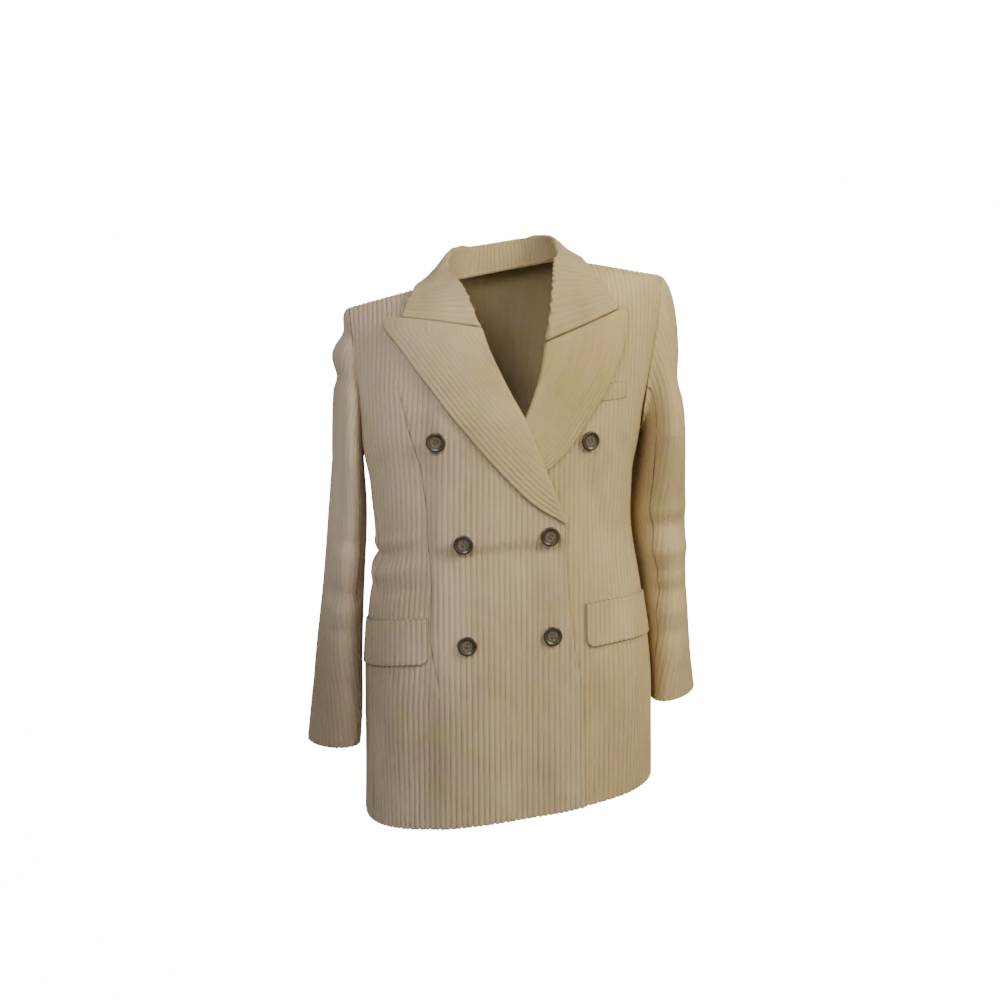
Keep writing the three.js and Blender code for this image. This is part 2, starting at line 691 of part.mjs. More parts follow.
// The cords of a lapel run beside its outer edge, and the roll closes over the edge of the front
function addLapel(side) {
  const outer = flatCurve(LAPELS[side].outer);
  const roll = flatCurve(LAPELS[side].roll);
  const width = (level) => outer.getPointAt(level).distanceTo(roll.getPointAt(level));
  const place = (e, level, height) => {
    const edge = outer.getPointAt(level);
    const fold = roll.getPointAt(level);
    const share = e / width(level);
    const belly = LAPEL_BELLY * smoothstep(level, 0.1, 0.5) * 4 * share * (1 - share);
    if (share <= 1) {
      const spot = edge.clone().lerp(fold, share);
      return frontPoint(side, spot.x, spot.z, lapelBase(spot.z) + belly + height);
    }
    const half = (lapelBase(fold.z) + WALL) / 2;
    const centre = frontPoint(side, fold.x, fold.z, half);
    const top = frontPoint(side, fold.x, fold.z, half + 1);
    const normal = top.sub(centre).normalize();
    const medial = fold.clone().sub(edge).normalize();
    medial.addScaledVector(normal, -medial.dot(normal)).normalize();
    const radius = half - WALL + height;
    const turn = ((e - width(level)) / HOOK_LENGTH) * Math.PI;
    centre.addScaledVector(normal, radius * Math.cos(turn));
    return centre.addScaledVector(medial, radius * Math.sin(turn) + FOLD_CLEAR);
  };
  const geometry = wall({
    levels: [0, 0.12, 0.26, 0.4, 0.54, 0.68, 0.82, 0.92, 1],
    left: () => 0,
    right: width,
    tail: [0, HOOK_LENGTH / 3, (HOOK_LENGTH * 2) / 3, HOOK_LENGTH],
    place,
    innerStep: LAYER_STEP,
  });
  add(`lapel_${sideName(side)}`, geometry, CLOTH[side]);
}

// The collar is one folded wall: the fall, the roll and the stand
function addCollar() {
  const neckTilt = (x) => shoulderZ(clamp(x, -NECK_X, NECK_X));
  const backRow = (side, row) => {
    const put = ([x, y, z]) => new THREE.Vector3(side * x, y, z + neckTilt(side * x));
    const [roll, edge, seam] = [put(row.roll), put(row.edge), put(row.seam)];
    const [wider, higher] = ROLL_SHIFT[side];
    const share = row.roll[0] / ROLL_SIDE;
    roll.x += side * wider * share;
    roll.z += higher * share;
    const fall = edge.clone().lerp(roll, 0.5);
    fall.addScaledVector(fall.clone().sub(seam).normalize(), FALL_BELLY);
    return { roll, edge, seam, fall };
  };
  const frontRow = (side, row) => {
    const [edgeX, edgeZ] = row.edge;
    const [rollX, rollZ] = row.roll.length === 3 ? [row.roll[0], row.roll[2]] : row.roll;
    const edge = frontPoint(side, edgeX, edgeZ, EDGE_RISE);
    const fallX = lerp(edgeX, rollX, 0.5);
    const fallZ = Math.min(lerp(edgeZ, rollZ, 0.5), shoulderZ(fallX) - FALL_DROP);
    const fall = frontPoint(side, fallX, fallZ, FALL_RISE);
    const roll = row.roll.length === 3
      ? new THREE.Vector3(...row.roll)
      : frontPoint(side, row.roll[0] - side * ROLL_CLEAR, row.roll[1], row.rise);
    const seam = frontPoint(side, row.seam[0] - side * NECK_CLEAR, row.seam[1], WALL / 2);
    return { roll, edge, seam, fall };
  };
  const rows = [];
  for (let k = 3; k >= 0; k -= 1) rows.push(frontRow(RIGHT, COLLAR_FRONT[RIGHT][k]));
  for (let k = 3; k >= 0; k -= 1) rows.push(backRow(RIGHT, COLLAR[k]));
  for (let k = 1; k <= 3; k += 1) rows.push(backRow(LEFT, COLLAR[k]));
  for (let k = 0; k <= 3; k += 1) rows.push(frontRow(LEFT, COLLAR_FRONT[LEFT][k]));
  const line = (pick) => smoothCurve(rows.map(pick));
  const edge = line((row) => row.edge);
  const roll = line((row) => row.roll);
  const seam = line((row) => row.seam);
  const fall = line((row) => row.fall);
  const middle = line((row) => row.edge.clone().lerp(row.roll, 0.4));
  const length = middle.getLength();
  const section = (c, v) => {
    const t = middle.getUtoTmapping(clamp(c / length, 0, 1));
    const [e, r, s] = [edge.getPoint(t), roll.getPoint(t), seam.getPoint(t)];
    const f = fall.getPoint(t);
    const out = f.clone().sub(s).normalize();
    const shoulder = r.clone().lerp(f, 0.26).addScaledVector(out, SHOULDER_BELLY);
    const stand = r.clone().lerp(s, 0.4);
    return smoothCurve([e, f, shoulder, r, stand, s]).getPointAt(clamp(v, 0, 1));
  };
  const place = (c, v, height) => {
    const point = section(c, v);
    const along = section(c + COLLAR_SLOPE.run, v).sub(section(c - COLLAR_SLOPE.run, v));
    const up = section(c, v + COLLAR_SLOPE.level).sub(section(c, v - COLLAR_SLOPE.level));
    const normal = up.cross(along).normalize();
    return point.addScaledVector(normal, height - WALL / 2);
  };
  const geometry = wall({
    levels: [0, 0.28, 0.54, 0.66, 0.76, 1],
    left: () => 0,
    right: () => length,
    place,
    innerStep: COLLAR_STEP,
  });
  add('collar', geometry, CLOTH[RIGHT]);
}

function runAt(side, x, z) {
  return crossing((s) => Math.abs(bodyFace(side, s, levelAt(z)).x) - Math.abs(x), 0, POCKET_REACH);
}

function addFlap(side) {
  const start = runAt(side, FLAP_FRONT[side], FLAP.top);
  const drop = (level) => FLAP.height * (1 - level);
  const corner = (level) => {
    const rise = Math.min(FLAP.height * level, FLAP.corner);
    return FLAP.corner - Math.sqrt(FLAP.corner ** 2 - (FLAP.corner - rise) ** 2);
  };
  const place = (s, level, height) => {
    const z = FLAP.top - drop(level);
    const { x } = bodyFace(side, s, levelAt(z));
    const rise = WALL + FLAP_CLEAR + (side === RIGHT ? lap(x, z) : 0);
    return bodyPoint(side, s, levelAt(z), rise + height);
  };
  const geometry = wall({
    levels: [0, 0.05, 0.22, 0.6, 1],
    left: (level) => start + corner(level),
    right: () => start + FLAP.length,
    place,
    innerStep: LAYER_STEP,
  });
  add(`pocket_flap_${sideName(side)}`, geometry, CLOTH[side]);
}

function addWelt() {
  const geometry = wall({
    levels: [0, 0.5, 1],
    left: () => WELT.inner,
    right: () => WELT.outer,
    place: (x, level, height) => {
      const z = WELT.top - WELT.height * (1 - level);
      return frontPoint(LEFT, x, z, WALL + WELT.clear + height / 2);
    },
    innerStep: LAYER_STEP,
  });
  add('breast_welt', geometry, CLOTH[LEFT]);
}

// How far a disc can move down before it meets the cords under it
function dropOnto(mesh, centre, turn) {
  const down = new THREE.Vector3(0, -1, 0).applyQuaternion(turn);
  const caster = new THREE.Raycaster();
  let drop = Infinity;
  for (const share of [0, 0.3, 0.6, 0.9]) {
    for (let k = 0; k < BUTTON_SIDES; k += 1) {
      const angle = (k / BUTTON_SIDES) * 2 * Math.PI;
      const spot = new THREE.Vector3(Math.cos(angle), 0, Math.sin(angle));
      spot.multiplyScalar(share * BUTTON_RADIUS).applyQuaternion(turn);
      caster.set(spot.add(centre), down);
      for (const hit of caster.intersectObject(mesh)) drop = Math.min(drop, hit.distance);
    }
  }
  return drop;
}

// Turned button with a raised rim and a dished middle, seated on the cords
function addButton({ name, side, x, z }) {
  const profile = BUTTON_PROFILE.map(([r, h]) => new THREE.Vector2(r * BUTTON_RADIUS, h * BUTTON_THICK));
  const geometry = new THREE.LatheGeometry(profile, BUTTON_SIDES);
  const centre = frontPoint(side, x, z, WALL + BUTTON_START);
  const normal = centre.clone().sub(frontPoint(side, x, z, WALL)).normalize();
  const turn = new THREE.Quaternion().setFromUnitVectors(new THREE.Vector3(0, 1, 0), normal);
  centre.z += lean(centre);
  const front = blazer.getObjectByName(`front_${sideName(side)}`);
  centre.addScaledVector(normal, BUTTON_CLEAR - dropOnto(front, centre, turn));
  geometry.applyQuaternion(turn);
  geometry.translate(centre.x, centre.y, centre.z);
  add(name, geometry, HORN, 0.3);
}

for (const side of [RIGHT, LEFT]) {
  addFront(side);
  addSidePanel(side);
  addBack(side);
  addSleeve(side);
  addLapel(side);
  addFlap(side);
}
addCollar();
addWelt();
BUTTONS.forEach(addButton);

export default blazer;
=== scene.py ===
# %% [markdown]
# # A double breasted blazer in jumbo corduroy
#
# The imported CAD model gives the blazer's true size and the place of every cut piece. This lesson dresses
# it: each panel is made again as fine cloth, with every cord of the corduroy as real geometry, and
# procedural materials give the pile, the nap and the horn of the buttons. All lengths are worked out in
# millimetres and turned into metres when a mesh is made.

# %% Load the frame
import math
import bpy
import numpy as np
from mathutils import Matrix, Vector
from mathutils.bvhtree import BVHTree


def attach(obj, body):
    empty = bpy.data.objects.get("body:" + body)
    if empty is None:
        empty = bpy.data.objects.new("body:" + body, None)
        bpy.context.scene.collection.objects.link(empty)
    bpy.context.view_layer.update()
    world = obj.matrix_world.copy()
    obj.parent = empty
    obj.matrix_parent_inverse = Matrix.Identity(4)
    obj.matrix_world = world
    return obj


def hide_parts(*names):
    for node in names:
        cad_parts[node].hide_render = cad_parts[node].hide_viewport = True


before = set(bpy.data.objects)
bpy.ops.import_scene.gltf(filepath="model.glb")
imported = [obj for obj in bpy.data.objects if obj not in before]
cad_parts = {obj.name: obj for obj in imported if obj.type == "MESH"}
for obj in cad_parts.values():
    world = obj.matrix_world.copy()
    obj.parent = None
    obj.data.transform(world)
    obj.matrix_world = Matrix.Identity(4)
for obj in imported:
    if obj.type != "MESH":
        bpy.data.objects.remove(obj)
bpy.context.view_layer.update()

# %% [markdown]
# ## The camera
#
# A camera shows the object as the photograph does only if it stands at the same angle and distance.
# The angle is measured round the object from its front, and the lens is given as a focal length in
# pixels of a thousand-pixel picture, which the sensor width turns into millimetres.

# %% Camera
CAMERA_AZIMUTH = math.radians(-8)
CAMERA_ELEVATION = math.radians(9)
CAMERA_DISTANCE = 2.2
CAMERA_TARGET = Vector((0, 0, -0.35))
PICTURE_PIXELS = 1000
FOCAL_PIXELS = 1635
TARGET_PIXEL = (501, 537)
SENSOR_MM = 36

camera_data = bpy.data.cameras.new("camera")
camera_data.sensor_width = SENSOR_MM
camera_data.lens = FOCAL_PIXELS / PICTURE_PIXELS * SENSOR_MM
camera_data.shift_x = (PICTURE_PIXELS / 2 - TARGET_PIXEL[0]) / PICTURE_PIXELS
camera_data.shift_y = (TARGET_PIXEL[1] - PICTURE_PIXELS / 2) / PICTURE_PIXELS
camera = bpy.data.objects.new("camera", camera_data)
bpy.context.scene.collection.objects.link(camera)
towards_camera = Vector((
    math.sin(CAMERA_AZIMUTH) * math.cos(CAMERA_ELEVATION),
    -math.cos(CAMERA_AZIMUTH) * math.cos(CAMERA_ELEVATION),
    math.sin(CAMERA_ELEVATION),
))
camera.location = CAMERA_TARGET + towards_camera * CAMERA_DISTANCE
camera.rotation_euler = towards_camera.to_track_quat("Z", "Y").to_euler()
bpy.context.scene.camera = camera
print("camera at", [round(v, 3) for v in camera.location])

# %% [markdown]
# ## The shape tables
#
# A maker knows a blazer by its measures at a few heights: half widths to each side, depths to the front
# and back, and the run of the front edges. A mesh could be sculpted by eye instead, but these short tables
# are the ones that the solids are made from, so the cloth lands where the solids are. Those of the sleeves,
# the lapels, the collar and the pockets come with their own steps. x runs to the wearer's left, y to the
# back and z up, from the base of the neck.

# %% Cloth measures
RIGHT, LEFT = -1, 1
SIDE_NAME = {RIGHT: "right", LEFT: "left"}
# From one cord to the next, the ground cloth's thickness, and how far the pile stands over it
PITCH = 7.0
GROUND = 1.6
CORD = 1.4
WALL = GROUND + CORD
# Half of what is left open along a seam. The right side panel's seam to the back opens up to 2.3 mm
HALF_GAP = 0.004
print("cloth", WALL, "mm thick at the cords")

# %% Body measures
CHEST_Z = -190.0
HEM_Z = -700.0
NECK_X = 80.0
# The wearer's left shoulder stands higher than the right one
SHOULDER = {
    RIGHT: {"tip_x": 199, "tip_z": -31, "neck_z": -8, "arm_x": 186, "dent": 16},
    LEFT: {"tip_x": 211, "tip_z": -20, "neck_z": 11, "arm_x": 177, "dent": 3},
}
# Half widths to each side and depths to the front and back, from the hem up
BODY = {
    "z": [-720, -640, -535, -420, -345, -290, -205, -180],
    RIGHT: [184, 182, 181, 181, 178, 182, 194, 195],
    LEFT: [203, 202, 199, 184, 172, 172, 183, 186],
    "front": [140, 137, 132, 125, 120, 122, 128, 128],
    "back": [127, 124, 118, 104, 92, 96, 110, 112],
}
# The free edge of each front, then its roll line, then its neckline
EDGE = {
    RIGHT: {
        "z": [-720, -550, -470, -365, -322, -261, -190, -153, -96, -67, -40, -8],
        "x": [93, 88, 76, 67, 62, 38, 10, -10, -36, -45, -58, -80],
    },
    LEFT: {
        "z": [-720, -550, -470, -365, -322, -261, -190, -139, -105, -89, -50, 11],
        "x": [-93, -88, -76, -67, -62, -27, 13, 34, 42, 45, 59, 80],
    },
}
print("body measured at", len(BODY["z"]), "heights, front edges at", len(EDGE[RIGHT]["z"]))

# %% [markdown]
# ## Folds
#
# Worn cloth is never smooth: it breaks at the waist and the inner elbow, and it dimples where the sleeve
# is eased into the shoulder. A cloth simulation could find such folds, but not the same ones each time, so
# each fold is one soft hump or trough with a place, a depth and a reach. The large ones are in the solids
# too, and the small ones are added here, a few millimetres deep. The sleeves' folds come with the sleeves.

# %% Fold tables
BODY_FOLDS = [
    # x, z, depth, reach across, reach along, slope
    (-172, -352, -5, 34, 9, 0.25),
    (-160, -372, 4, 40, 10, 0.25),
    (-150, -520, 5, 22, 110, 0),
    (120, -330, -5, 14, 90, -0.35),
    (150, -560, 6, 20, 110, 0),
    (20, -600, -3, 26, 120, 0),
]
FINE_BODY_FOLDS = [
    (-150, -330, 2.0, 40, 7, 0.3),
    (-140, -392, -2.0, 36, 6, 0.2),
    (-60, -250, -1.6, 14, 70, 0.45),
    (60, -370, -1.8, 12, 60, -0.3),
    (-122, -300, 1.6, 10, 60, 0.1),
    (100, -480, 1.8, 12, 90, 0.05),
    (-30, -560, 1.6, 16, 90, 0),
    (-100, -620, -1.8, 14, 80, 0),
    (60, -640, 1.6, 14, 70, 0),
    (160, -250, -2.2, 16, 40, -0.5),
    (-168, -240, -2.2, 14, 34, 0.4),
    (130, -120, -1.4, 12, 40, -0.2),
]
print(len(BODY_FOLDS), "large and", len(FINE_BODY_FOLDS), "small body folds")

# %% [markdown]
# ## From measures to surfaces
#
# A smooth curve runs through each table, and the body's section at any height is a rounded box with those
# half widths and depths. Numpy works on whole arrays of points at once, so a panel of forty thousand
# points takes a moment. A spot on the body is named by s, its distance round from the middle, and by a
# level: 0 at the hem, 1 at the chest and 2 on the shoulder seam. First come the small helpers.


# %% Small helpers
def mix(a, b, t):
    return a + (b - a) * t


def smoothstep(value, low, high):
    t = np.clip((value - low) / (high - low), 0, 1)
    return t * t * (3 - 2 * t)


def unit(vectors):
    return vectors / np.maximum(np.linalg.norm(vectors, axis=-1, keepdims=True), 1e-9)


def through_table(table, name, at, by="z"):
    """A smooth curve through a table's numbers, read at any height."""
    xs = np.array(table[by], float)
    ys = np.array(table[name], float)
    at = np.clip(np.asarray(at, float), xs[0], xs[-1])
    low = np.clip(np.searchsorted(xs, at, side="left") - 1, 0, len(xs) - 2)
    before = np.maximum(np.arange(len(xs)) - 1, 0)
    after = np.minimum(np.arange(len(xs)) + 1, len(xs) - 1)
    slopes = (ys[after] - ys[before]) / (xs[after] - xs[before])
    span = xs[low + 1] - xs[low]
    t = (at - xs[low]) / span
    value = ys[low] * (1 + 2 * t) * (1 - t) ** 2 + slopes[low] * span * t * (1 - t) ** 2
    return value + ys[low + 1] * t * t * (3 - 2 * t) + slopes[low + 1] * span * t * t * (t - 1)


def crossing(rising, low, high, halvings=36):
    """Finds where a rising function crosses zero, for a whole array at once."""
    low, high = np.array(low, float), np.array(high, float)
    for _ in range(halvings):
        middle = (low + high) / 2
        over = rising(middle) > 0
        high = np.where(over, middle, high)
        low = np.where(over, low, middle)
    return (low + high) / 2


def measured(points):
    """The distance run along a line of points, at each of them."""
    steps = np.linalg.norm(np.diff(points, axis=0), axis=1)
    return np.concatenate([[0], np.cumsum(steps)])


print("waist half width", round(float(through_table(BODY, RIGHT, -345)), 1), "mm")

# %% Body sections
Z_STEP = 2.0
Z_GRID = np.arange(-720, -178, Z_STEP)
ROUND = 480
RING_POWER = 2.5
RING_STEPS = 40
# Each side is pressed in a little, at this depth and over these heights
DENT_Y, DENT_SPREAD = 14.0, 58.0
DENT_LOW, DENT_HIGH = -520.0, -300.0


def half_section(side, z):
    width = through_table(BODY, side, z)
    front, back = through_table(BODY, "front", z), through_table(BODY, "back", z)
    dent = SHOULDER[side]["dent"] * smoothstep(z, DENT_LOW, DENT_HIGH)
    angle = np.arange(2 * RING_STEPS + 1) / RING_STEPS * (math.pi / 2)
    across = np.abs(np.sin(angle)) ** (2 / RING_POWER)
    depth = np.abs(np.cos(angle)) ** (2 / RING_POWER)
    y = np.where(np.arange(2 * RING_STEPS + 1) <= RING_STEPS, -front * depth, back * depth)
    pressed = dent * np.exp(-(((y - DENT_Y) / DENT_SPREAD) ** 2))
    return np.stack([side * across * (width - pressed), y], axis=1)


def even_steps(points, count):
    """The same line with evenly spaced points, and its length."""
    run = measured(points)
    at = np.linspace(0, run[-1], count + 1)
    return np.stack([np.interp(at, run, points[:, k]) for k in range(points.shape[1])], axis=1), run[-1]


SECTIONS, ROUNDS = {}, {}
for side in (RIGHT, LEFT):
    sections = [even_steps(half_section(side, z), ROUND) for z in Z_GRID]
    SECTIONS[side] = np.array([points for points, _ in sections])
    ROUNDS[side] = np.array([total for _, total in sections])


def round_at(side, z):
    return np.interp(z, Z_GRID, ROUNDS[side])


def look_up(grid, row, column):
    """Reads a grid of points between its rows and columns."""
    row = np.clip(row, 0, grid.shape[0] - 1.0001)
    column = np.clip(column, 0, grid.shape[1] - 1.0001)
    r, c = row.astype(int), column.astype(int)
    fr, fc = (row - r)[..., None], (column - c)[..., None]
    return mix(mix(grid[r, c], grid[r, c + 1], fc), mix(grid[r + 1, c], grid[r + 1, c + 1], fc), fr)


def on_section(side, s, z, from_back=False):
    s, z = np.broadcast_arrays(np.asarray(s, float), np.asarray(z, float))

    def half(which):
        share = np.clip(np.abs(s) / round_at(which, z), 0, 1)
        share = 1 - share if from_back else share
        return look_up(SECTIONS[which], (z - Z_GRID[0]) / Z_STEP, share * ROUND)

    return np.where((s < 0)[..., None], half(-side), half(side))


print("waist girth", round(float(round_at(RIGHT, -345) + round_at(LEFT, -345))), "mm")

# %% Where the armholes start
ARM_BACK = 6.0
ARM_RUN = {}
for side in (RIGHT, LEFT):
    total = float(round_at(side, CHEST_Z))
    arm_x = SHOULDER[side]["arm_x"]
    front = crossing(lambda s: np.abs(on_section(side, s, CHEST_Z)[..., 0]) - arm_x, 0, total * 0.45)
    back = crossing(
        lambda s: np.abs(on_section(side, s, CHEST_Z, True)[..., 0]) - arm_x + ARM_BACK, 0, total * 0.45
    )
    ARM_RUN[side] = {"front": float(front), "back": float(back), "total": total}
    print(SIDE_NAME[side], "armhole starts", round(float(front)), "mm from the centre front")


# %% Shoulder line and levels
YOKE_POWER = 0.86


def shoulder_z(x):
    neck = mix(SHOULDER[RIGHT]["neck_z"], SHOULDER[LEFT]["neck_z"], (x / NECK_X + 1) / 2)
    out = {}
    for side in (RIGHT, LEFT):
        measure = SHOULDER[side]
        share = (np.abs(x) - NECK_X) / (measure["tip_x"] - NECK_X)
        out[side] = mix(measure["neck_z"], measure["tip_z"], share)
    slope = np.where(x < 0, out[RIGHT], out[LEFT])
    return np.where(np.abs(x) > NECK_X, slope, neck)


def level_at(z):
    return (z - HEM_Z) / (CHEST_Z - HEM_Z)


def yoke_level(x, z):
    up = np.clip((z - CHEST_Z) / (shoulder_z(x) - CHEST_Z), 0, 1)
    return 1 + np.arcsin(up ** (1 / YOKE_POWER)) / (math.pi / 2)


print("middle of the neck base at", float(shoulder_z(np.array(0.0))), "mm")

# %% The body's surface
SEAM_Y = 5.0
NECK_DEPTH = 57.0


def body_face(side, s, level, from_back=False, top_z=None):
    s, level = np.broadcast_arrays(np.asarray(s, float), np.asarray(level, float))
    z_low = mix(HEM_Z, CHEST_Z if top_z is None else top_z, np.minimum(level, 1))
    z_low = np.broadcast_to(z_low, s.shape)
    low = on_section(side, s, np.where(level <= 1, z_low, CHEST_Z), from_back)
    half = np.where(s < 0, -side, side)
    key = "back" if from_back else "front"
    run = np.where(half == RIGHT, ARM_RUN[RIGHT][key], ARM_RUN[LEFT][key])
    tip = np.where(half == RIGHT, SHOULDER[RIGHT]["tip_x"], SHOULDER[LEFT]["tip_x"])
    turn = (np.clip(level, 1, 2) - 1) * (math.pi / 2)
    up = np.sin(turn) ** YOKE_POWER
    x = mix(low[..., 0], half * np.abs(s) * tip / run, up)
    neck = NECK_DEPTH * np.sqrt(np.clip(1 - (x / NECK_X) ** 2, 0, 1)) if from_back else 0
    seam_y = SEAM_Y + neck
    y = seam_y + (low[..., 1] - seam_y) * np.maximum(0, np.cos(turn)) ** YOKE_POWER
    z = mix(CHEST_Z, shoulder_z(x), up)
    yoke = np.stack([x, y, z], axis=-1)
    body = np.concatenate([low, z_low[..., None]], axis=-1)
    return np.where((level <= 1)[..., None], body, yoke)


print("middle of the chest", np.round(body_face(RIGHT, 0, 1), 1))


# %% Points over the body
NEAR_S, NEAR_LEVEL = 0.6, 0.006


def folds(x, z):
    rise = np.zeros(np.broadcast(x, z).shape)
    for at_x, at_z, depth, across, along, slope in BODY_FOLDS + FINE_BODY_FOLDS:
        upright = along > across
        up = z - at_z
        out = x - at_x - (up * slope if upright else 0)
        high = up - (0 if upright else out * slope)
        rise = rise + depth * np.exp(-((out / across) ** 2) - (high / along) ** 2)
    return rise


def body_point(side, s, level, height, from_back=False, top_z=None):
    """A point at a height over the body. Its neighbours on both sides give the way out."""
    def at(ds, dl):
        return body_face(side, s + ds, np.clip(level + dl, 0, 2), from_back, top_z)

    point = at(0, 0)
    along = at(NEAR_S, 0) - at(-NEAR_S, 0)
    up = at(0, NEAR_LEVEL) - at(0, -NEAR_LEVEL)
    normal = unit(np.cross(along, up)) * (-side if from_back else side)
    rise = height if from_back else height + folds(point[..., 0], point[..., 2])
    return point + normal * np.asarray(rise)[..., None]


print("deepest body fold", min(fold[2] for fold in BODY_FOLDS), "mm")

# %% The lap of the fronts
# Where the right front starts to rise over the left one, and by how much below and above the waist
LAP_START, LAP_END = -116, -88
LAP_LOW, LAP_HIGH = 4.4, 10.3
LAP_STEP = (-352, -332)
LAP_FADE = (-188, -140)


def lap(x, z):
    high = smoothstep(z, *LAP_STEP)
    fade = 1 - smoothstep(z, *LAP_FADE)
    return smoothstep(x, LAP_START, LAP_END) * mix(LAP_LOW, LAP_HIGH, high) * fade


def run_on_front(half, x, z):
    level = np.where(z <= CHEST_Z, level_at(z), yoke_level(x, z))
    reach = np.full(np.shape(x), ARM_RUN[half]["front"])
    s = crossing(lambda run: np.abs(body_face(half, run, level)[..., 0]) - np.abs(x), 0 * reach, reach)
    return s, level


def front_point(side, x, z, height):
    """A point over the front, for arrays of x, z and height."""
    x, z, height = np.broadcast_arrays(*(np.asarray(v, float) for v in (x, z, height)))
    over = height + (lap(x, z) if side == RIGHT else 0)
    points = np.zeros(x.shape + (3,))
    for half in (RIGHT, LEFT):
        pick = x < 0 if half == RIGHT else x >= 0
        if pick.any():
            s, level = run_on_front(half, x[pick], z[pick])
            points[pick] = body_point(half, s, level, over[pick])
    return points


print("front at the middle button", np.round(front_point(RIGHT, 43, -333, WALL), 1))

# %% [markdown]
# ## Weaving a panel
#
# Corduroy is a ground cloth with a pile that is cut into cords. On this blazer a cord repeats every seven
# millimetres, so one could fake it with a bump texture, but the cords shape the outline of every edge and
# catch the light at the sides. Six columns of points for each cord make it real geometry. A column keeps
# its distance from the panel's grain line, so the cords run straight along the cloth and the panel's
# edges cut them, as scissors would. The inside is plain and needs only a few wide columns.

# %% One cord
CORD_POWER = 0.7
SLOW_WANDER, QUICK_WANDER = 0.28, 0.16


def cord_profile(s, v, seed):
    """0 in a groove and 1 on a crest. The pile wanders a little, as a cut pile does."""
    wander = SLOW_WANDER * np.sin(v / 31 + seed) * np.sin(s / 23 + 2 * seed)
    wander += QUICK_WANDER * np.sin(v / 11 + s * 1.7)
    return np.abs(np.sin(math.pi * (s + wander) / PITCH)) ** CORD_POWER


def rounded(distance, radius):
    """Falls from 1 to 0 over the last stretch before an edge, as a quarter circle."""
    t = np.clip(distance / radius, 0, 1)
    return np.sqrt(np.clip(1 - (1 - t) ** 2, 0, 1))


print("crest to groove", CORD, "mm")

# %% Columns of points
CORD_COLUMNS = 6
INNER_STEP = 14.0
ROW_STEP = 5.0
# A column this close to an edge, as a share of the step, gives way to the edge's own point
SLIVER = 0.35


def lay_columns(bounds, shifts, step, tail):
    """Numbers a panel's points, row by row. Returns each point's s and row, and the grid of numbers."""
    rows = len(bounds[0])
    spans = []
    for k, shift in enumerate(shifts):
        low = int(math.floor(np.min(bounds[k] + shift) / step))
        high = int(math.ceil(np.max(bounds[k + 1] + shift) / step))
        spans.append(np.arange(low, high + 1) * step)
    s_of, row_of, grid = [], [], []
    count = 0
    for j in range(rows):
        line = [np.array([count])]
        s_row = [np.array([bounds[0][j]])]
        count += 1
        for k, columns in enumerate(spans):
            s = columns - shifts[k][j]
            low, high = bounds[k][j], bounds[k + 1][j]
            inside = (s > low + SLIVER * step) & (s < high - SLIVER * step)
            number = int(inside.sum())
            numbers = np.full(len(s), count - 1)
            numbers[inside] = count + np.arange(number)
            numbers[s >= max(high - SLIVER * step, low)] = count + number
            line.append(numbers)
            line.append(np.array([count + number]))
            s_row.append(s[inside])
            s_row.append(np.array([high]))
            count += number + 1
        if tail is not None:
            line.append(count + np.arange(len(tail)))
            s_row.append(bounds[-1][j] + np.array(tail))
            count += len(tail)
        s_row = np.concatenate(s_row)
        s_of.append(s_row)
        row_of.append(np.full(len(s_row), j))
        grid.append(np.concatenate(line))
    return np.concatenate(s_of), np.concatenate(row_of), np.array(grid)


print("columns every", round(PITCH / CORD_COLUMNS, 2), "mm")


# %% Faces between the columns
def grid_faces(grid, flip):
    """Squares between the numbered points, and triangles where a column begins or ends."""
    a, b = grid[:-1, :-1].ravel(), grid[:-1, 1:].ravel()
    d, c = grid[1:, :-1].ravel(), grid[1:, 1:].ravel()
    faces = []
    whole = (a != b) & (c != d)
    faces += np.stack([a, b, c, d], axis=1)[whole].tolist()
    top = (a == b) & (c != d)
    faces += np.stack([a, c, d], axis=1)[top].tolist()
    bottom = (a != b) & (c == d)
    faces += np.stack([a, b, c], axis=1)[bottom].tolist()
    return [face[::-1] for face in faces] if flip else faces


def zip_rows(low, high, s_low, s_high):
    """Triangles between two rows of points that have different spacing."""
    faces, i, j = [], 0, 0
    while i < len(low) - 1 or j < len(high) - 1:
        next_low = s_low[i + 1] if i < len(low) - 1 else math.inf
        next_high = s_high[j + 1] if j < len(high) - 1 else math.inf
        if next_low <= next_high:
            faces.append([low[i], low[i + 1], high[j]])
            i += 1
        else:
            faces.append([low[i], high[j + 1], high[j]])
            j += 1
    return faces


def unique_line(numbers):
    return numbers[np.concatenate([[True], np.diff(numbers) != 0])]


strip_test = zip_rows([0, 1, 2], [3, 4], [0, 1, 2], [0, 2])
print("three points over two give", len(strip_test), "triangles")

# %% From points to an object
SIDE_LEAN = 0.075
HEM_LEAN = 0.047
HEM_LEAN_DROP = (400, 700)
METRES = 0.001


def lean(points):
    """The garment hangs lower on the wearer's right side, and a little more so at the hem."""
    drop = SIDE_LEAN + HEM_LEAN * smoothstep(-points[..., 2], *HEM_LEAN_DROP)
    leaned = points.copy()
    leaned[..., 2] += points[..., 0] * drop
    return leaned


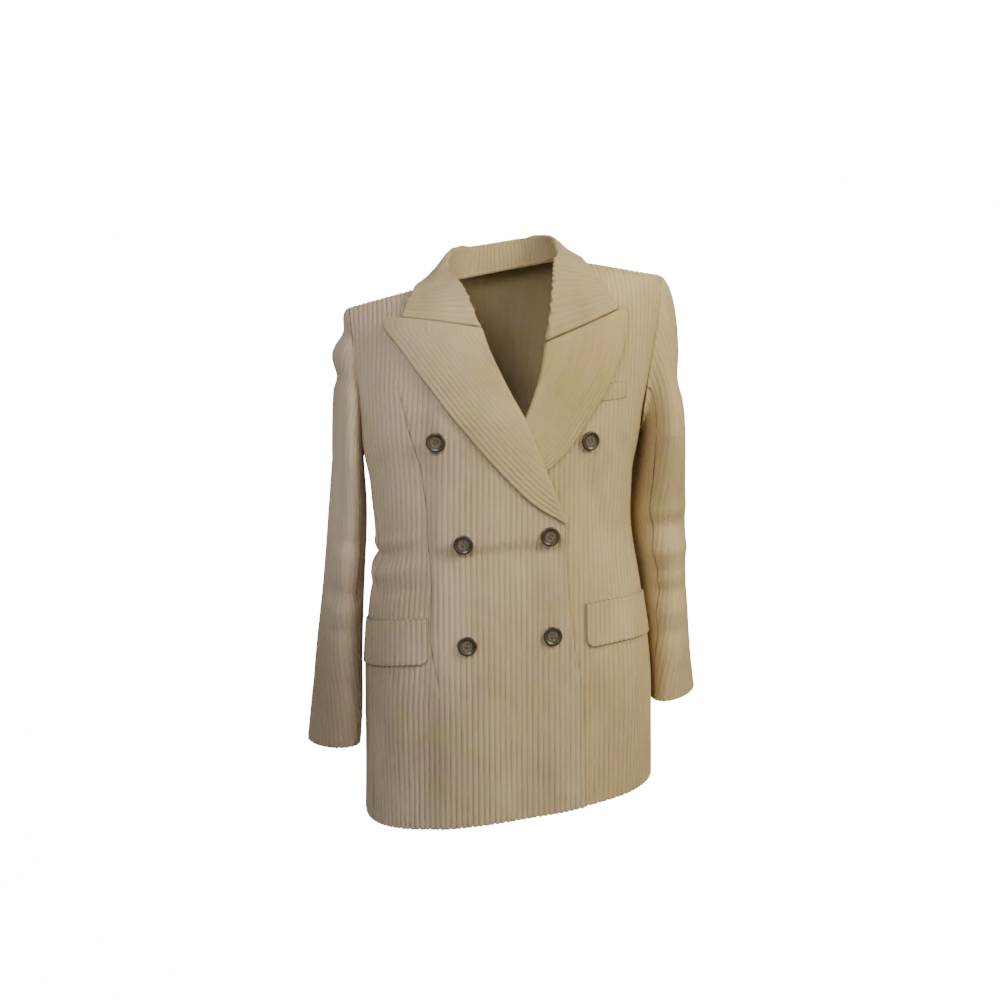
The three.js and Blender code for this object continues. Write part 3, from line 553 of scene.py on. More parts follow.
def make_mesh(name, points, faces, materials, face_slots=None, values=None, uv=None, sharp=50):
    mesh = bpy.data.meshes.new(name)
    mesh.from_pydata((points * METRES).tolist(), [], faces)
    for material in materials:
        mesh.materials.append(material)
    if face_slots is not None:
        mesh.polygons.foreach_set("material_index", face_slots)
    for key, numbers in (values or {}).items():
        layer = mesh.attributes.new(key, "FLOAT", "POINT")
        layer.data.foreach_set("value", np.asarray(numbers, np.float32))
    if uv is not None:
        layer = mesh.uv_layers.new(name="cloth")
        corners = np.zeros(len(mesh.loops), np.int32)
        mesh.loops.foreach_get("vertex_index", corners)
        layer.data.foreach_set("uv", (uv[corners] * METRES).astype(np.float32).ravel())
    mesh.polygons.foreach_set("use_smooth", np.ones(len(mesh.polygons), bool))
    mesh.set_sharp_from_angle(angle=math.radians(sharp))
    mesh.validate()
    piece = bpy.data.objects.new(name, mesh)
    bpy.context.scene.collection.objects.link(piece)
    return piece


def signed_volume(points, faces):
    """Six times the volume inside, and negative where the faces look inwards."""
    total = 0.0
    for size in (3, 4):
        chosen = np.array([face for face in faces if len(face) == size])
        for k in range(1, size - 1) if len(chosen) else []:
            a, b, c = points[chosen[:, 0]], points[chosen[:, k]], points[chosen[:, k + 1]]
            total += float((a * np.cross(b, c)).sum())
    return total


print("cloth keeps", SIDE_LEAN * 100, "mm of lean for each 100 mm across")

# %% Edges, seams and darts
SEAM, FREE = "seam", "free"
# How far in an edge is rounded, and the share of the cloth's height that is left at its very end
EDGE_ROUND = {SEAM: 1.8, FREE: 2.6}
EDGE_FLOOR = {SEAM: 0.45, FREE: 0.2}
# How far the dark line along an edge reaches, a line partly of the seam's own dark and partly painted
# shadow, and a distance that stands for no edge
EDGE_SHADE = 5.0
NO_EDGE = 1e3
# A dart sinks the cloth fully once it takes in this much
DART_OPENS = (0.2, 3.0)
# How far a dart's edge is rounded, how deep it sinks, and how far its dark line reaches, partly the seam's
# own and partly painted shadow
DART_ROUND, DART_SINK, DART_SHADE = 2.2, 0.5, 3.0
SCALLOP_REACH = 4.0


def edge_height(distance, kind):
    return EDGE_FLOOR[kind] + (1 - EDGE_FLOOR[kind]) * rounded(distance, EDGE_ROUND[kind])


def sink_edges(height, distances, edges, darts):
    """Lowers the cloth near its edges and darts. Also returns how clear of them a point is, from 0 on one
    to 1. distances and edges go left, right, bottom, top, and a dart is a distance and what it takes in."""
    clear = np.ones(len(height))
    for distance, kind in zip(distances, edges):
        height = height * edge_height(distance, kind)
        clear = np.minimum(clear, np.clip(distance / EDGE_SHADE, 0, 1))
    for distance, take in darts:
        width = smoothstep(take, *DART_OPENS)
        height = height * (1 - width * DART_SINK * (1 - rounded(distance, DART_ROUND)))
        clear = np.minimum(clear, 1 - width * (1 - np.clip(distance / DART_SHADE, 0, 1)))
    return height, clear


def scallop_share(v):
    """1 on the hem and 0 a few millimetres above it."""
    return 1 - np.clip((v - v.min()) / SCALLOP_REACH, 0, 1)


print("a seam sinks to", edge_height(0, SEAM), "of the cloth's height")


# %% Closing a wall
def closed_wall(outer, inner, grid, grid_in, s, s_in):
    """Joins the outer and the inner face along all four edges. Returns the points, the faces, and which
    faces are inside."""
    base = len(outer)
    faces = grid_faces(grid, False)
    outer_count = len(faces)
    faces += grid_faces(grid_in + base, True)
    inside = slice(outer_count, len(faces))
    for j in (0, -1):
        line, line_in = unique_line(grid[j]), unique_line(grid_in[j])
        strip = zip_rows(line_in + base, line, s_in[line_in], s[line])
        faces += strip if j == 0 else [face[::-1] for face in strip]
    first, first_in = grid[:, 0], grid_in[:, 0] + base
    last, last_in = grid[:, -1], grid_in[:, -1] + base
    faces += np.stack([first[:-1], first[1:], first_in[1:], first_in[:-1]], axis=1).tolist()
    faces += np.stack([last[:-1], last_in[:-1], last_in[1:], last[1:]], axis=1).tolist()
    points = np.concatenate([outer, inner])
    if signed_volume(points, faces) < 0:
        faces = [face[::-1] for face in faces]
    return points, faces, inside


print("two faces and four edges close a wall")

# %% The flat cut of a panel
flat_sizes = {}


def note_flat_cut(name, plain, across):
    """Measures a piece on its plain inside: its widest row, its middle line and its area, in metres."""
    a, b, c, d = plain[:-1, :-1], plain[:-1, 1:], plain[1:, 1:], plain[1:, :-1]
    area = (np.linalg.norm(np.cross(c - a, d - b), axis=-1) / 2).sum() * METRES ** 2
    middle = plain[:, plain.shape[1] // 2]
    width, length = math.ceil(across) / 1000, math.ceil(float(measured(middle)[-1])) / 1000
    flat_sizes[name] = (width, length, min(float(area), width * length))
    print(name, "flat", width, "by", length, "m")


print("flat cuts are kept in metres")

# %% A closed panel of cloth
MIN_WIDTH = 0.4
INSIDE_PILE = 0.6


def cloth_panel(name, levels, reach, bounds, place, materials, edges, shifts=None, tail=None, seed=0.0,
                soften=None, scallop=0.0, grain_of=None):
    """One cut piece as a closed wall: cords outside, plain inside, edges rounded in. edges gives the kind
    of the left, right, bottom and top edge, and reach turns a level into a distance along the cloth."""
    levels = np.asarray(levels, float)
    bounds = [np.broadcast_to(np.asarray(bound(levels), float), levels.shape).copy() for bound in bounds]
    bounds[-1] = np.maximum(bounds[-1], bounds[0] + MIN_WIDTH)
    shifts = [np.zeros(len(levels))] if shifts is None else [shift(levels) for shift in shifts]
    v_of = reach(levels)
    s, row, grid = lay_columns(bounds, shifts, PITCH / CORD_COLUMNS, tail)
    v = v_of[row]
    grain = s.copy()
    for k in range(1, len(shifts)):
        grain = np.where(s > bounds[k][row], s + shifts[k][row], grain)
    if grain_of is not None:
        grain = grain_of(s, levels[row])
    profile = cord_profile(grain, v, seed)
    strength = np.ones(len(s)) if soften is None else soften(s, levels[row])
    pile = 1 - strength * (1 - profile)
    right = bounds[-1][row] - s if tail is None else np.full(len(s), NO_EDGE)
    darts = [(np.abs(s - bounds[k][row]), shifts[k][row]) for k in range(1, len(shifts))]
    distances = (s - bounds[0][row], right, v - v_of[0], v_of[-1] - v)
    height, clear = sink_edges(GROUND + CORD * pile, distances, edges, darts)
    outer = place(s, levels[row], height)
    outer[..., 2] += scallop * (1 - profile) * scallop_share(v)

    s_in, row_in, grid_in = lay_columns([bounds[0], bounds[-1]], [np.zeros(len(levels))], INNER_STEP, tail)
    v_in = v_of[row_in]
    inner = place(s_in, levels[row_in], np.zeros(len(s_in)))
    inner[..., 2] += scallop * scallop_share(v_in)
    points, faces, inside = closed_wall(outer, inner, grid, grid_in, s, s_in)
    slots = np.zeros(len(faces), np.int32)
    slots[inside] = 1
    clear_in = np.ones(len(inner))
    for line in (grid_in[0], grid_in[-1], grid_in[:, 0], grid_in[:, -1]):
        clear_in[line] = 0
    values = {
        "pile": np.concatenate([pile, np.full(len(inner), INSIDE_PILE)]),
        "edge": np.concatenate([clear, clear_in]),
    }
    uv = np.concatenate([np.stack([grain, v], 1), np.stack([s_in, v_in], 1)])
    across = float(np.max(bounds[-1] - bounds[0])) + (0 if tail is None else tail[-1])
    note_flat_cut(name, inner[grid_in], across)
    return make_mesh(name, lean(points), faces, materials, slots, values, uv)


print("ready to weave")


# %% [markdown]
# ## The corduroy
#
# The cloth is cream cotton with a short cut pile. Pile takes light two ways: it is matt seen straight on,
# and it glows at grazing angles, which a sheen layer gives. The crests are rubbed pale, and the grooves
# hold the darker ground and painted shade, deepest towards the hem. A dark line runs along every edge and
# dart, partly the seam's own and partly painted shadow. Slow noise is the nap, brushed a little one way or
# the other, a stretched noise streaks it along the cords, and the finest noise is the fibre itself. A
# painted
# picture could hold all this, but noise has no seams and stays sharp close up. Painted light is mixed in
# too:
# each side has its own cream, warmer on the wearer's left, the whole blazer turns warmer towards that side
# by its place on the garment, as under a warm lamp, and painted shade darkens the right sleeve low down.


# %% Material helpers
def new_material(name, tint, roughness, metallic=0.0):
    material = bpy.data.materials.new(name)
    material.use_nodes = True
    material.diffuse_color = (*tint, 1)
    nodes, links = material.node_tree.nodes, material.node_tree.links
    shader = nodes["Principled BSDF"]
    shader.inputs["Roughness"].default_value = roughness
    shader.inputs["Metallic"].default_value = metallic
    return material, nodes, links, shader


def mix_colors(nodes, links, factor, first, second, blend="MIX"):
    node = nodes.new("ShaderNodeMix")
    node.data_type = "RGBA"
    node.blend_type = blend
    for socket, value in ((node.inputs[0], factor), (node.inputs[6], first), (node.inputs[7], second)):
        if hasattr(value, "is_output"):
            links.new(value, socket)
        else:
            socket.default_value = value if isinstance(value, float) else (*value, 1)
    return node.outputs[2]


def noise_at(nodes, links, vector, scale, detail=3.0, stretch=(1, 1, 1)):
    mapping = nodes.new("ShaderNodeMapping")
    mapping.inputs["Scale"].default_value = stretch
    links.new(vector, mapping.inputs["Vector"])
    noise = nodes.new("ShaderNodeTexNoise")
    noise.inputs["Scale"].default_value = scale
    noise.inputs["Detail"].default_value = detail
    links.new(mapping.outputs["Vector"], noise.inputs["Vector"])
    return noise.outputs["Fac"]


def between(nodes, links, value, from_low, from_high, to_low=0.0, to_high=1.0):
    node = nodes.new("ShaderNodeMapRange")
    links.new(value, node.inputs["Value"])
    numbers = {"From Min": from_low, "From Max": from_high, "To Min": to_low, "To Max": to_high}
    for key, number in numbers.items():
        node.inputs[key].default_value = number
    return node.outputs["Result"]


def times(nodes, links, first, second):
    node = nodes.new("ShaderNodeMath")
    node.operation = "MULTIPLY"
    links.new(first, node.inputs[0])
    links.new(second, node.inputs[1])
    return node.outputs["Value"]


def stored(nodes, name):
    """A value that the mesh carries at each point."""
    node = nodes.new("ShaderNodeAttribute")
    node.attribute_name = name
    return node.outputs["Fac"]


print("mixers ready")


# %% Tints of the cloth
# The two sides' tints differ only by painted warm light: warmer and yellower on the wearer's left
CREAM = {RIGHT: (0.565, 0.46, 0.328), LEFT: (0.59, 0.475, 0.302)}
GROOVE = {RIGHT: (0.25, 0.19, 0.12), LEFT: (0.27, 0.2, 0.11)}
INSIDE = (0.42, 0.33, 0.21)
# Shares of the cream, where the nap is rubbed pale and in its rosy and olive clouds
PALE, ROSY, OLIVE = (1.16, 1.16, 1.16), (0.89, 0.81, 0.84), (0.84, 0.86, 0.71)
# Painted light: the tint of a warm lamp towards the wearer's left, and of painted shade low on the right
# sleeve
WARM_LAMP_TINT, PAINTED_SHADE_TINT = (1.0, 0.975, 0.8), (0.78, 0.765, 0.75)
# A darker, warmer tint for the lapels and the collar; on the collar it is painted shade, toning down the
# light from above
LAPEL_AND_COLLAR_TINT = (0.96, 0.935, 0.83)
# The dark line at edges, seams and darts, partly the seam's own dark and partly painted shadow, as a share
# of the groove tint
SEAM_SHADOW = (0.55, 0.55, 0.55)


def tinted(color, tint):
    return tuple(min(1, c * t) for c, t in zip(color, tint))


print("palest cream", [round(c, 2) for c in tinted(CREAM[LEFT], PALE)])


# %% Nap, warmth and shade
def napped(nodes, links, crest, place, streak):
    """Slow clouds of nap, rosy here and olive there, under pale streaks along the cords."""
    nap = between(nodes, links, noise_at(nodes, links, place, 9, 3, (1, 1, 0.5)), 0.35, 0.68)
    hue = between(nodes, links, noise_at(nodes, links, place, 23, 2), 0.4, 0.62)
    clouds = mix_colors(nodes, links, hue, tinted(crest, ROSY), tinted(crest, OLIVE))
    color = mix_colors(nodes, links, nap, clouds, tinted(crest, PALE))
    rubbed = between(nodes, links, streak, 0, 1, 0.0, 0.22)
    return mix_colors(nodes, links, rubbed, color, tinted(crest, PALE))


def painted_lamp_and_shade(nodes, links, color, where):
    """Painted warm light towards the wearer's left, and painted shade low on the right sleeve."""
    warmth = between(nodes, links, where["X"], -0.15, 0.0)
    warm = mix_colors(nodes, links, 1.0, color, WARM_LAMP_TINT, "MULTIPLY")
    color = mix_colors(nodes, links, warmth, color, warm)
    dusk = times(nodes, links, between(nodes, links, where["X"], -0.16, -0.2),
                 between(nodes, links, where["Z"], -0.3, -0.55))
    return mix_colors(nodes, links, dusk, color, mix_colors(nodes, links, 1.0, color, PAINTED_SHADE_TINT, "MULTIPLY"))


def grooved(nodes, links, color, groove, where, streak):
    """Painted shade and the darker ground in the grooves, patchy along the cords and deeper towards the
    hem, and at every edge a dark line, partly the seam's own and partly painted shadow.
    """
    pile, edge = stored(nodes, "pile"), stored(nodes, "edge")
    depth = times(nodes, links, between(nodes, links, pile, 0.05, 0.8, 1.0, 0.0),
                  between(nodes, links, where["Z"], -0.6, -0.3, 0.5, 0.3))
    patchy = times(nodes, links, depth, between(nodes, links, streak, 0, 1, 0.5, 1.5))
    color = mix_colors(nodes, links, patchy, color, groove)
    # Dark line at edges, seams and darts, partly the seam's own and partly painted shadow, strongest in the
    # grooves
    dark = times(nodes, links, between(nodes, links, edge, 0.0, 0.42, 0.9, 0.0),
                 between(nodes, links, pile, 0.1, 0.9, 1.0, 0.55))
    return mix_colors(nodes, links, dark, color, tinted(groove, SEAM_SHADOW))


print("seams shaded to", SEAM_SHADOW[0], "of the groove tint")


# %% Corduroy and its plain inside
PILE_FINISH = {
    "Specular IOR Level": 0.12, "Sheen Weight": 0.16, "Sheen Roughness": 0.45,
    "Sheen Tint": (1.0, 0.93, 0.8, 1),
}


def corduroy(name, crest, groove=None):
    """The cloth's outside, or with no groove tint its plain inside."""
    material, nodes, links, shader = new_material(name, crest, 0.88)
    coordinates = nodes.new("ShaderNodeTexCoord").outputs
    cloth, place = coordinates["UV"], coordinates["Object"]
    split = nodes.new("ShaderNodeSeparateXYZ")
    links.new(place, split.inputs["Vector"])
    streak = between(nodes, links, noise_at(nodes, links, cloth, 150, 3, (1, 0.06, 1)), 0.35, 0.65)
    fibre = noise_at(nodes, links, cloth, 1500, 2, (1, 0.6, 1))
    color = painted_lamp_and_shade(nodes, links, napped(nodes, links, crest, place, streak), split.outputs)
    if groove is not None:
        color = grooved(nodes, links, color, groove, split.outputs, streak)
    speck = between(nodes, links, fibre, 0.3, 0.7, 0.88, 1.06)
    grey = nodes.new("ShaderNodeCombineColor")
    for channel in ("Red", "Green", "Blue"):
        links.new(speck, grey.inputs[channel])
    color = mix_colors(nodes, links, 1.0, color, grey.outputs["Color"], "MULTIPLY")
    links.new(color, shader.inputs["Base Color"])
    for socket, value in PILE_FINISH.items():
        shader.inputs[socket].default_value = value
    bump = nodes.new("ShaderNodeBump")
    bump.inputs["Strength"].default_value = 0.35
    bump.inputs["Distance"].default_value = 0.0004
    links.new(fibre, bump.inputs["Height"])
    links.new(bump.outputs["Normal"], shader.inputs["Normal"])
    return material


inside_cloth = corduroy("plain inside", INSIDE)
CLOTH = {side: [corduroy(f"corduroy {SIDE_NAME[side]}", CREAM[side], GROOVE[side]), inside_cloth]
         for side in (RIGHT, LEFT)}
LAPEL_CLOTH = {
    side: [corduroy(f"pressed corduroy {SIDE_NAME[side]}", tinted(CREAM[side], LAPEL_AND_COLLAR_TINT), GROOVE[side]),
           inside_cloth]
    for side in (RIGHT, LEFT)
}
print("materials", [m.name for m in bpy.data.materials])

# %% [markdown]
# ## Fronts, side panels and back
#
# The body is cut as two fronts, two side panels and two back halves, sewn edge to edge. The right front
# laps over the left one, so it stands further out there. One could cut a single tube into pieces, but then
# the cords would not lie straight in each piece, so every panel is woven from its own edges. A long dart
# takes in the right front from the lapel to the pocket: the cords on its outer side lean towards it and are
# swallowed by the seam.

# %% Rows of points
BODY_LENGTH = CHEST_Z - HEM_Z
YOKE_LENGTH = 230.0


def body_reach(levels):
    return BODY_LENGTH * np.minimum(levels, 1) + YOKE_LENGTH * np.maximum(levels - 1, 0)


def rows_between(start, stop, step, close=(0.7, 1.8)):
    """Evenly spaced distances, with extra rows close to both ends, where the edge rounds in."""
    inner = np.arange(start + step, stop - step * 0.5, step)
    return np.concatenate([[start], start + np.array(close), inner, stop - np.array(close)[::-1], [stop]])


def as_levels(distances):
    return np.where(distances <= BODY_LENGTH, distances / BODY_LENGTH,
                    1 + (distances - BODY_LENGTH) / YOKE_LENGTH)


FRONT_LEVELS = as_levels(rows_between(0, BODY_LENGTH + YOKE_LENGTH, ROW_STEP))
PANEL_LEVELS = as_levels(rows_between(0, BODY_LENGTH, ROW_STEP))
print("rows in a front", len(FRONT_LEVELS))


# %% Panel boundaries
SIDE_FRONT, SIDE_BACK = 0.41, 0.65
PANEL_RISE = 170.0
ARM_DIP = 26.0


def seam_run(side, level, name):
    z = mix(HEM_Z, CHEST_Z, np.minimum(level, 1))
    chest = ARM_RUN[side]
    top = chest["front"] / chest["total"] if name == "front" else 1 - chest["back"] / chest["total"]
    low = SIDE_FRONT if name == "front" else SIDE_BACK
    return round_at(side, z) * mix(low, top, smoothstep(z, CHEST_Z - PANEL_RISE, CHEST_Z))


def front_edge_run(side, level):
    def past(s):
        point = body_face(side, s, level)
        return side * (point[..., 0] - through_table(EDGE[side], "x", point[..., 2]))

    return crossing(past, np.full(np.shape(level), -160.0), np.full(np.shape(level), 160.0))


def armhole_dip(side, s, level):
    start, stop = seam_run(side, level, "front"), seam_run(side, level, "back")
    share = np.clip((2 * s - start - stop) / (stop - start), -1, 1)
    return CHEST_Z - ARM_DIP * np.sqrt(1 - share * share)


print("side panel at the hem", round(float(seam_run(RIGHT, 0, "back") - seam_run(RIGHT, 0, "front"))), "mm")

# %% The dart
DART_LINE = [(-149, -121), (-140, -147), (-133, -181), (-117, -233), (-109, -288), (-104, -391),
             (-107, -456), (-100, -496), (-92, -549)]
DART_WIDTH = 15.0
dart_x, dart_z = (np.array(v, float) for v in zip(*DART_LINE))
dart_s, dart_level = run_on_front(RIGHT, dart_x, dart_z)
dart_order = np.argsort(dart_level)


def dart_run(level):
    return np.interp(level, dart_level[dart_order], dart_s[dart_order])


def dart_take(level):
    low, high = dart_level.min(), dart_level.max()
    share = np.clip((level - low) / (high - low), 0, 1)
    return DART_WIDTH * np.sin(math.pi * share) ** 1.5


print("dart takes in", DART_WIDTH, "mm at the waist")


# %% Fronts
def front_place(side):
    def place(s, level, height):
        face = body_face(side, s, level)
        over = lap(face[..., 0], face[..., 2]) if side == RIGHT else 0
        points = body_point(side, s, level, height + over)
        points[..., 1] -= HALF_GAP * smoothstep(level, 1.99, 2)
        return points

    return place


def front_outer(side):
    def run(level):
        return np.where(level <= 1, seam_run(side, level, "front"), ARM_RUN[side]["front"]) - HALF_GAP

    return run


# How far the hem rises between two cords
HEM_SCALLOP = 2.2
pieces = {}
pieces["front_right"] = cloth_panel(
    "front_right_cloth", FRONT_LEVELS, body_reach,
    [lambda level: front_edge_run(RIGHT, level) + HALF_GAP, dart_run, front_outer(RIGHT)],
    front_place(RIGHT), CLOTH[RIGHT], (FREE, SEAM, FREE, SEAM),
    shifts=[lambda level: np.zeros(len(level)), dart_take], seed=0.4, scallop=HEM_SCALLOP,
)
pieces["front_left"] = cloth_panel(
    "front_left_cloth", FRONT_LEVELS, body_reach,
    [lambda level: front_edge_run(LEFT, level) + HALF_GAP, front_outer(LEFT)],
    front_place(LEFT), CLOTH[LEFT], (FREE, SEAM, FREE, SEAM), seed=1.3, scallop=HEM_SCALLOP,
)

# %% Side panels and back halves
for side in (RIGHT, LEFT):
    name = SIDE_NAME[side]
    pieces[f"side_panel_{name}"] = cloth_panel(
        f"side_panel_{name}_cloth", PANEL_LEVELS, body_reach,
        [lambda level: seam_run(side, level, "front") + HALF_GAP,
         lambda level: seam_run(side, level, "back") - HALF_GAP],
        lambda s, level, height: body_point(side, s, level, height, False, armhole_dip(side, s, level)),
        CLOTH[side], (SEAM, SEAM, FREE, SEAM), seed=2.1, scallop=HEM_SCALLOP,
    )

    def back_place(s, level, height):
        points = body_point(side, s, level, height, True)
        points[..., 1] += HALF_GAP * smoothstep(level, 1.99, 2)
        return points

    def back_outer(level):
        z = mix(HEM_Z, CHEST_Z, np.minimum(level, 1))
        low = round_at(side, z) - seam_run(side, level, "back")
        return np.where(level <= 1, low, ARM_RUN[side]["back"]) - HALF_GAP

    pieces[f"back_{name}"] = cloth_panel(
        f"back_{name}_cloth", FRONT_LEVELS, body_reach,
        [lambda level: np.full(len(level), HALF_GAP), back_outer],
        back_place, CLOTH[side], (SEAM, SEAM, FREE, SEAM), seed=3.7, scallop=HEM_SCALLOP,
    )

# %% [markdown]
# ## Sleeves
#
# A tailored sleeve has two pieces, a wide top and a narrow under sleeve, that bend forward at the elbow.
# Its upper edge is sewn into the armhole. A bent tube would be quicker, but its end would not meet the
# armhole, so below the biceps each section is a turned oval, and above it the oval is led up into the
# armhole's own outline. The cords run straight up the sleeve's head, and the armhole seam cuts them.

# %% Sleeve measures
# x and y are each section's middle, wide and deep its half sizes, and turn its twist in degrees
CUFF_Z = -600.0
BICEPS_Z = -226.0
SLEEVES = {
    RIGHT: {
        "z": [-600, -551, -480, -388, -300, -226],
        "x": [228, 223, 218, 210, 204, 203],
        "y": [6, 12, 22, 28, 26, 16],
        "wide": [25, 27, 27, 25, 23, 18],
        "deep": [50, 53, 57, 62, 68, 76],
        "turn": [28, 20, 8, 0, 0, 0],
    },
    LEFT: {
        "z": [-600, -500, -414, -332, -290, -226],
        "x": [242, 233, 227, 218, 219, 219],
        "y": [6, 16, 24, 24, 20, 10],
        "wide": [25, 28, 28, 36, 32, 28],
        "deep": [50, 56, 60, 62, 68, 75],
        "turn": [28, 8, 0, 0, 0, 0],
    },
}
print("sleeve measured at", len(SLEEVES[RIGHT]["z"]), "heights")

# %% Sleeve sections
SLEEVE_GRID = np.arange(CUFF_Z, BICEPS_Z + Z_STEP / 2, Z_STEP)
SLEEVE_ROUND = 240
SLEEVE_SECTIONS, SLEEVE_ROUNDS = {}, {}
for side in (RIGHT, LEFT):
    for way in (1, -1):
        sections = []
        for z in SLEEVE_GRID:
            x, y, wide, deep, turn = (float(through_table(SLEEVES[side], key, z))
                                      for key in ("x", "y", "wide", "deep", "turn"))
            turn = math.radians(turn)
            angle = np.arange(RING_STEPS + 1) / RING_STEPS * math.pi
            out, back = wide * np.cos(angle), -way * deep * np.sin(angle)
            points = np.stack([
                side * (x + out * math.cos(turn) + back * math.sin(turn)),
                y - out * math.sin(turn) + back * math.cos(turn),
                np.full(len(angle), z),
            ], axis=1)
            sections.append(even_steps(points, SLEEVE_ROUND))
        SLEEVE_SECTIONS[side, way] = np.array([points for points, _ in sections])
        SLEEVE_ROUNDS[side, way] = np.array([total for _, total in sections])
print("right cuff girth", round(float(SLEEVE_ROUNDS[RIGHT, 1][0] + SLEEVE_ROUNDS[RIGHT, -1][0])), "mm")

# %% Armhole outlines
BIB_LEVELS = [1.2, 1.42, 1.64, 1.84, 2]
ARM_STEPS = 8


def armhole_line(side, height, from_back):
    key = "back" if from_back else "front"
    down = np.array([*BIB_LEVELS[::-1], 1.0])
    run = np.full(len(down), ARM_RUN[side][key])
    above = body_point(side, run, down, np.full(len(down), height), from_back)
    start = float(seam_run(side, 1.0, key))
    middle = float(seam_run(side, 1.0, "front") + seam_run(side, 1.0, "back")) / 2
    s = mix(start, middle, np.sin(np.arange(1, ARM_STEPS + 1) / ARM_STEPS * (math.pi / 2)))
    level = np.ones(len(s))
    below = body_point(side, s, level, np.full(len(s), height), False, armhole_dip(side, s, level))
    return even_steps(np.concatenate([above, below]), SLEEVE_ROUND)[0]


ARMHOLES = {(side, way): [armhole_line(side, height, way < 0) for height in (0.0, WALL)]
            for side in (RIGHT, LEFT) for way in (1, -1)}
armhole_length = sum(float(measured(ARMHOLES[RIGHT, way][0])[-1]) for way in (1, -1))
print("right armhole", round(armhole_length), "mm round")


# %% The sleeve's surface
CAP_CLEAR, CAP_TURN = 0.15, 60.0
UNDERARM_CLEAR, UNDERARM_TURN = 4.0, 160.0
UNDERARM_FRONT, UNDERARM_BACK = (0.34, 0.72), (0.45, 0.8)


def by_way(u, pick):
    """Picks the front half where u is positive and the back half elsewhere."""
    front, back = pick(1), pick(-1)
    chosen = u >= 0
    return np.where(chosen[..., None] if front.ndim > u.ndim else chosen, front, back)


def sleeve_share(side, u, level, from_inner):
    z = mix(CUFF_Z, BICEPS_Z, np.minimum(level, 1))
    total = by_way(u, lambda way: np.interp(z, SLEEVE_GRID, SLEEVE_ROUNDS[side, way]))
    share = np.clip(np.abs(u) / total, 0, 1)
    return 1 - share if from_inner else share


def underarm(u, share):
    return np.where(u >= 0, smoothstep(share, *UNDERARM_FRONT), smoothstep(share, *UNDERARM_BACK))


def cap_edge(side, u, share, height):
    def half(way):
        low, high = ARMHOLES[side, way]
        lines = np.array([low, high])
        return look_up(lines, height / WALL * 0.9998, share * SLEEVE_ROUND)

    point = by_way(u, half)
    zero, one = np.zeros(u.shape), np.full(u.shape, float(side))
    past = unit(np.stack([one, -point[..., 1] / CAP_TURN, zero], axis=-1))
    out = unit(np.stack([one, point[..., 1] / UNDERARM_TURN, zero], axis=-1))
    return point + past * CAP_CLEAR + out * (UNDERARM_CLEAR * underarm(u, share))[..., None]


def sleeve_face(side, u, level, from_inner):
    share = sleeve_share(side, u, level, from_inner)
    z = mix(CUFF_Z, BICEPS_Z, np.minimum(level, 1))
    row, column = (z - CUFF_Z) / Z_STEP, share * SLEEVE_ROUND
    low = by_way(u, lambda way: look_up(SLEEVE_SECTIONS[side, way], row, column))
    turn = (np.clip(level, 1, 2) - 1) * (math.pi / 2)
    top = cap_edge(side, u, share, np.zeros(u.shape))
    cap = mix(top, low, np.cos(turn)[..., None])
    cap[..., 2] = mix(low[..., 2], top[..., 2], np.sin(turn))
    return np.where((level <= 1)[..., None], low, cap)


print("underarm starts at", UNDERARM_FRONT[0], "of the way round")


# %% Folds of the sleeves
SLEEVE_FOLDS = {
    # share of the way round, z, depth, reach round, reach along
    RIGHT: [
        (0, -58, -6, 0.4, 14), (0, -88, 5, 0.5, 16), (0.1, -118, -4, 0.5, 12),
        (0.35, -260, -5, 0.12, 120), (0.3, -400, -5, 0.5, 12),
    ],
    LEFT: [
        (0, -155, -5, 0.5, 22), (0.45, -350, -6, 0.4, 12), (0.5, -385, 5, 0.4, 12),
        (0.5, -440, -5, 0.4, 11), (0.45, -500, -4, 0.4, 12),
    ],
}
FINE_SLEEVE_FOLDS = {
    RIGHT: [
        (0.5, -330, -2.4, 0.16, 8), (0.45, -350, 2.0, 0.2, 8), (0.5, -425, 2.4, 0.25, 9),
        (0.45, -450, -2.4, 0.25, 8), (0.3, -520, -2.0, 0.2, 12),
    ],
    LEFT: [
        (0.3, -330, 2.2, 0.2, 8), (0.5, -412, -2.0, 0.25, 7), (0.45, -470, 2.4, 0.2, 8),
        (0.3, -540, 2.0, 0.2, 12), (0, -150, -6.5, 0.45, 62),
    ],
}
# A fold of the inner side grows with the way round and fades again, and all are weaker at the back. The
# head of the sleeve is calm near the armhole and meets its outline at the very top
FOLD_GROWS, FOLD_FADES = (0.02, 0.4), (0.6, 0.9)
BACK_FOLDS, BACK_FADE = 0.6, (-40, 0)
HEAD_CALMS, HEAD_JOINS = (1.8, 2), (1.93, 2)
SLEEVE_NEAR_U, SLEEVE_NEAR_LEVEL = 0.8, 0.008


def sleeve_folds(side, u, z, share):
    """Folds grow from the outer line towards the inner side, where they fade before the inner seam."""
    rise = np.zeros(u.shape)
    for at, at_z, depth, across, along in SLEEVE_FOLDS[side] + FINE_SLEEVE_FOLDS[side]:
        fold = depth * np.exp(-(((share - at) / across) ** 2) - ((z - at_z) / along) ** 2)
        rise = rise + fold * (smoothstep(share, *FOLD_GROWS) if at > 0.25 else 1)
    return rise * mix(BACK_FOLDS, 1, smoothstep(u, *BACK_FADE)) * (1 - smoothstep(share, *FOLD_FADES))


